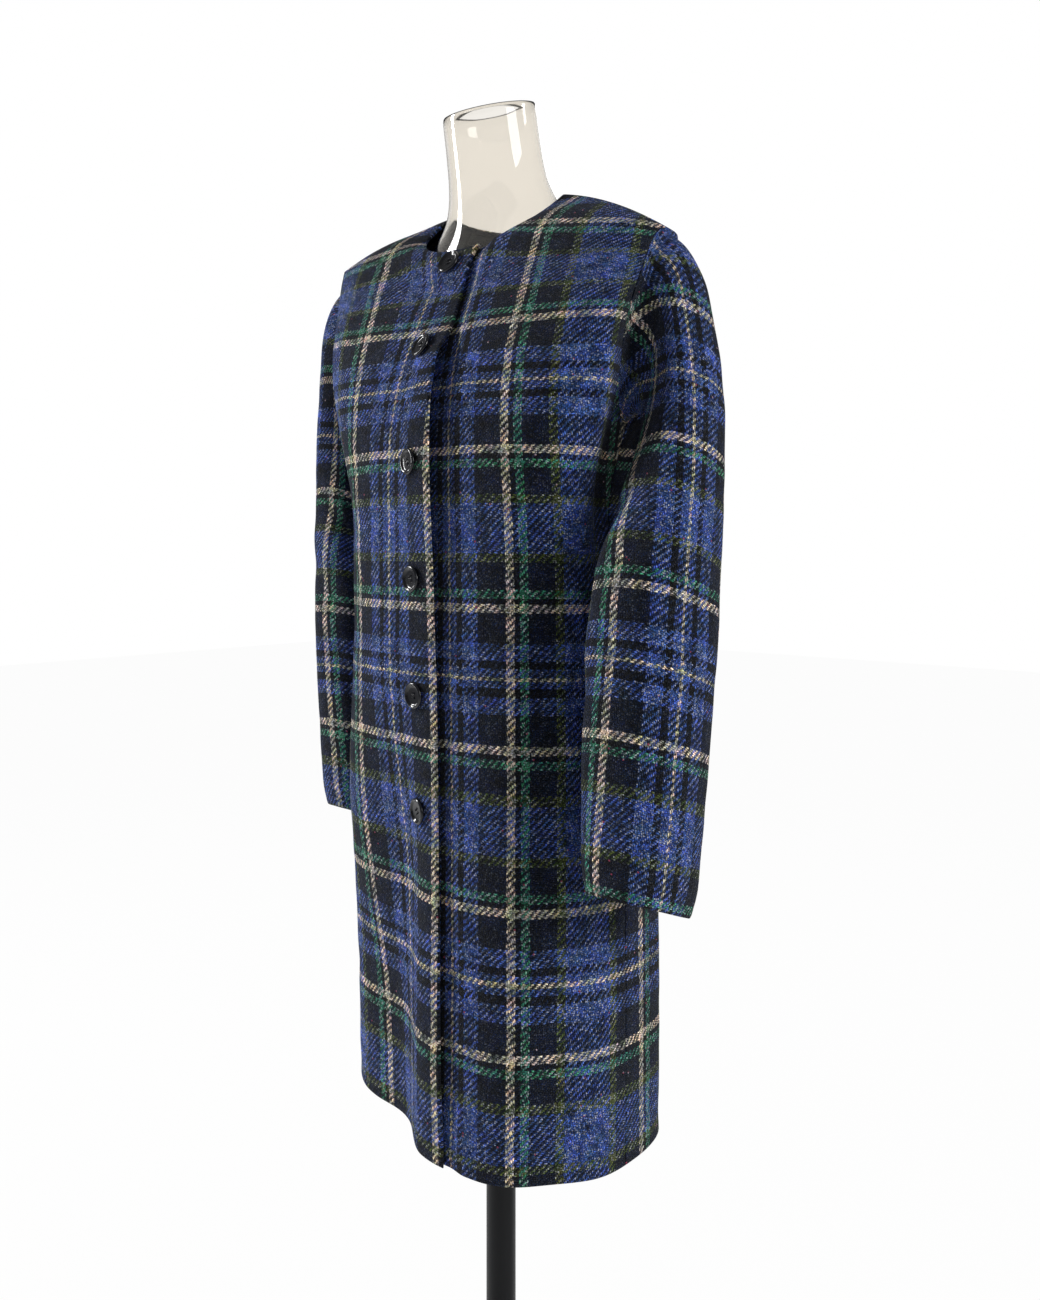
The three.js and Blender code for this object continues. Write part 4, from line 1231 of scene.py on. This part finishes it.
def addLight(name, place, target, size, power):
    lamp = bpy.data.lights.new(name, "AREA")
    lamp.shape, lamp.size, lamp.size_y = "RECTANGLE", size[0], size[1]
    lamp.energy = power
    light = addObject(name, lamp)
    light.location = place
    light.rotation_euler = (Vector(target) - Vector(place)).to_track_quat("-Z", "Y").to_euler()
    light.visible_camera = light.visible_transmission = False


def makeFloor():
    material, tree, place = makeMaterial("pale floor")
    noise = addNoise(tree, place, 1.4, 2.0)
    colour = blend(tree, noise[0], hexColour(studio["floor"]), hexColour("fafafa"))
    shader = addNode(tree, "ShaderNodeBsdfPrincipled", {"Base Color": colour, "Roughness": 0.9})
    bright = addNode(tree, "ShaderNodeEmission", {"Color": (1, 1, 1, 1)})
    paths = addNode(tree, "ShaderNodeLightPath").outputs
    share = calculate(tree, "MULTIPLY", paths["Is Camera Ray"], studio["floorGlow"])
    both = addNode(tree, "ShaderNodeMixShader", {0: share, 1: shader.outputs[0], 2: bright.outputs[0]})
    addNode(tree, "ShaderNodeOutputMaterial", {"Surface": both.outputs[0]})
    mesh = bpy.data.meshes.new("floor")
    mesh.from_pydata([(-9, -9, 0), (9, -9, 0), (9, 9, 0), (-9, 9, 0)], [], [(0, 1, 2, 3)])
    mesh.materials.append(material)
    floor = addObject("floor", mesh)


makeFloor()
world = bpy.data.worlds.new("studio")
bpy.context.scene.world = world
world.use_nodes = True
sky, dim = world.node_tree, studio["worldStrength"]
paths = sky.nodes.new("ShaderNodeLightPath").outputs
seen = calculate(sky, "MAXIMUM", paths["Is Camera Ray"], paths["Is Transmission Ray"])
sky.links.new(calculate(sky, "MULTIPLY_ADD", seen, 1 - dim, dim), sky.nodes["Background"].inputs[1])
sky.nodes["Background"].inputs[0].default_value = (1, 1, 1, 1)
addLight("key", (-2.4, -1.35, 2.0), (0, 0, 0.95), (0.5, 1.7), studio["keyPower"])
addLight("fill", (2.9, 0.2, 1.8), (0, 0, 0.9), (1.2, 1.4), studio["fillPower"])
addLight("behind", (-1.4, 2.4, 2.2), (0, 0, 1.1), (1.8, 1.2), studio["backPower"])

bpy.context.scene.view_settings.view_transform = "Standard"
cameraData = bpy.data.cameras.new("camera")
camera = addObject("camera", cameraData)
camera.location = (0.8464, -0.9401, 1.040)
camera.rotation_euler = (math.radians(90), 0, math.radians(42))
cameraData.lens = 31.98
cameraData.shift_x = 0.0146
cameraData.shift_y = -0.0808
bpy.context.scene.camera = camera

print("scene ready")
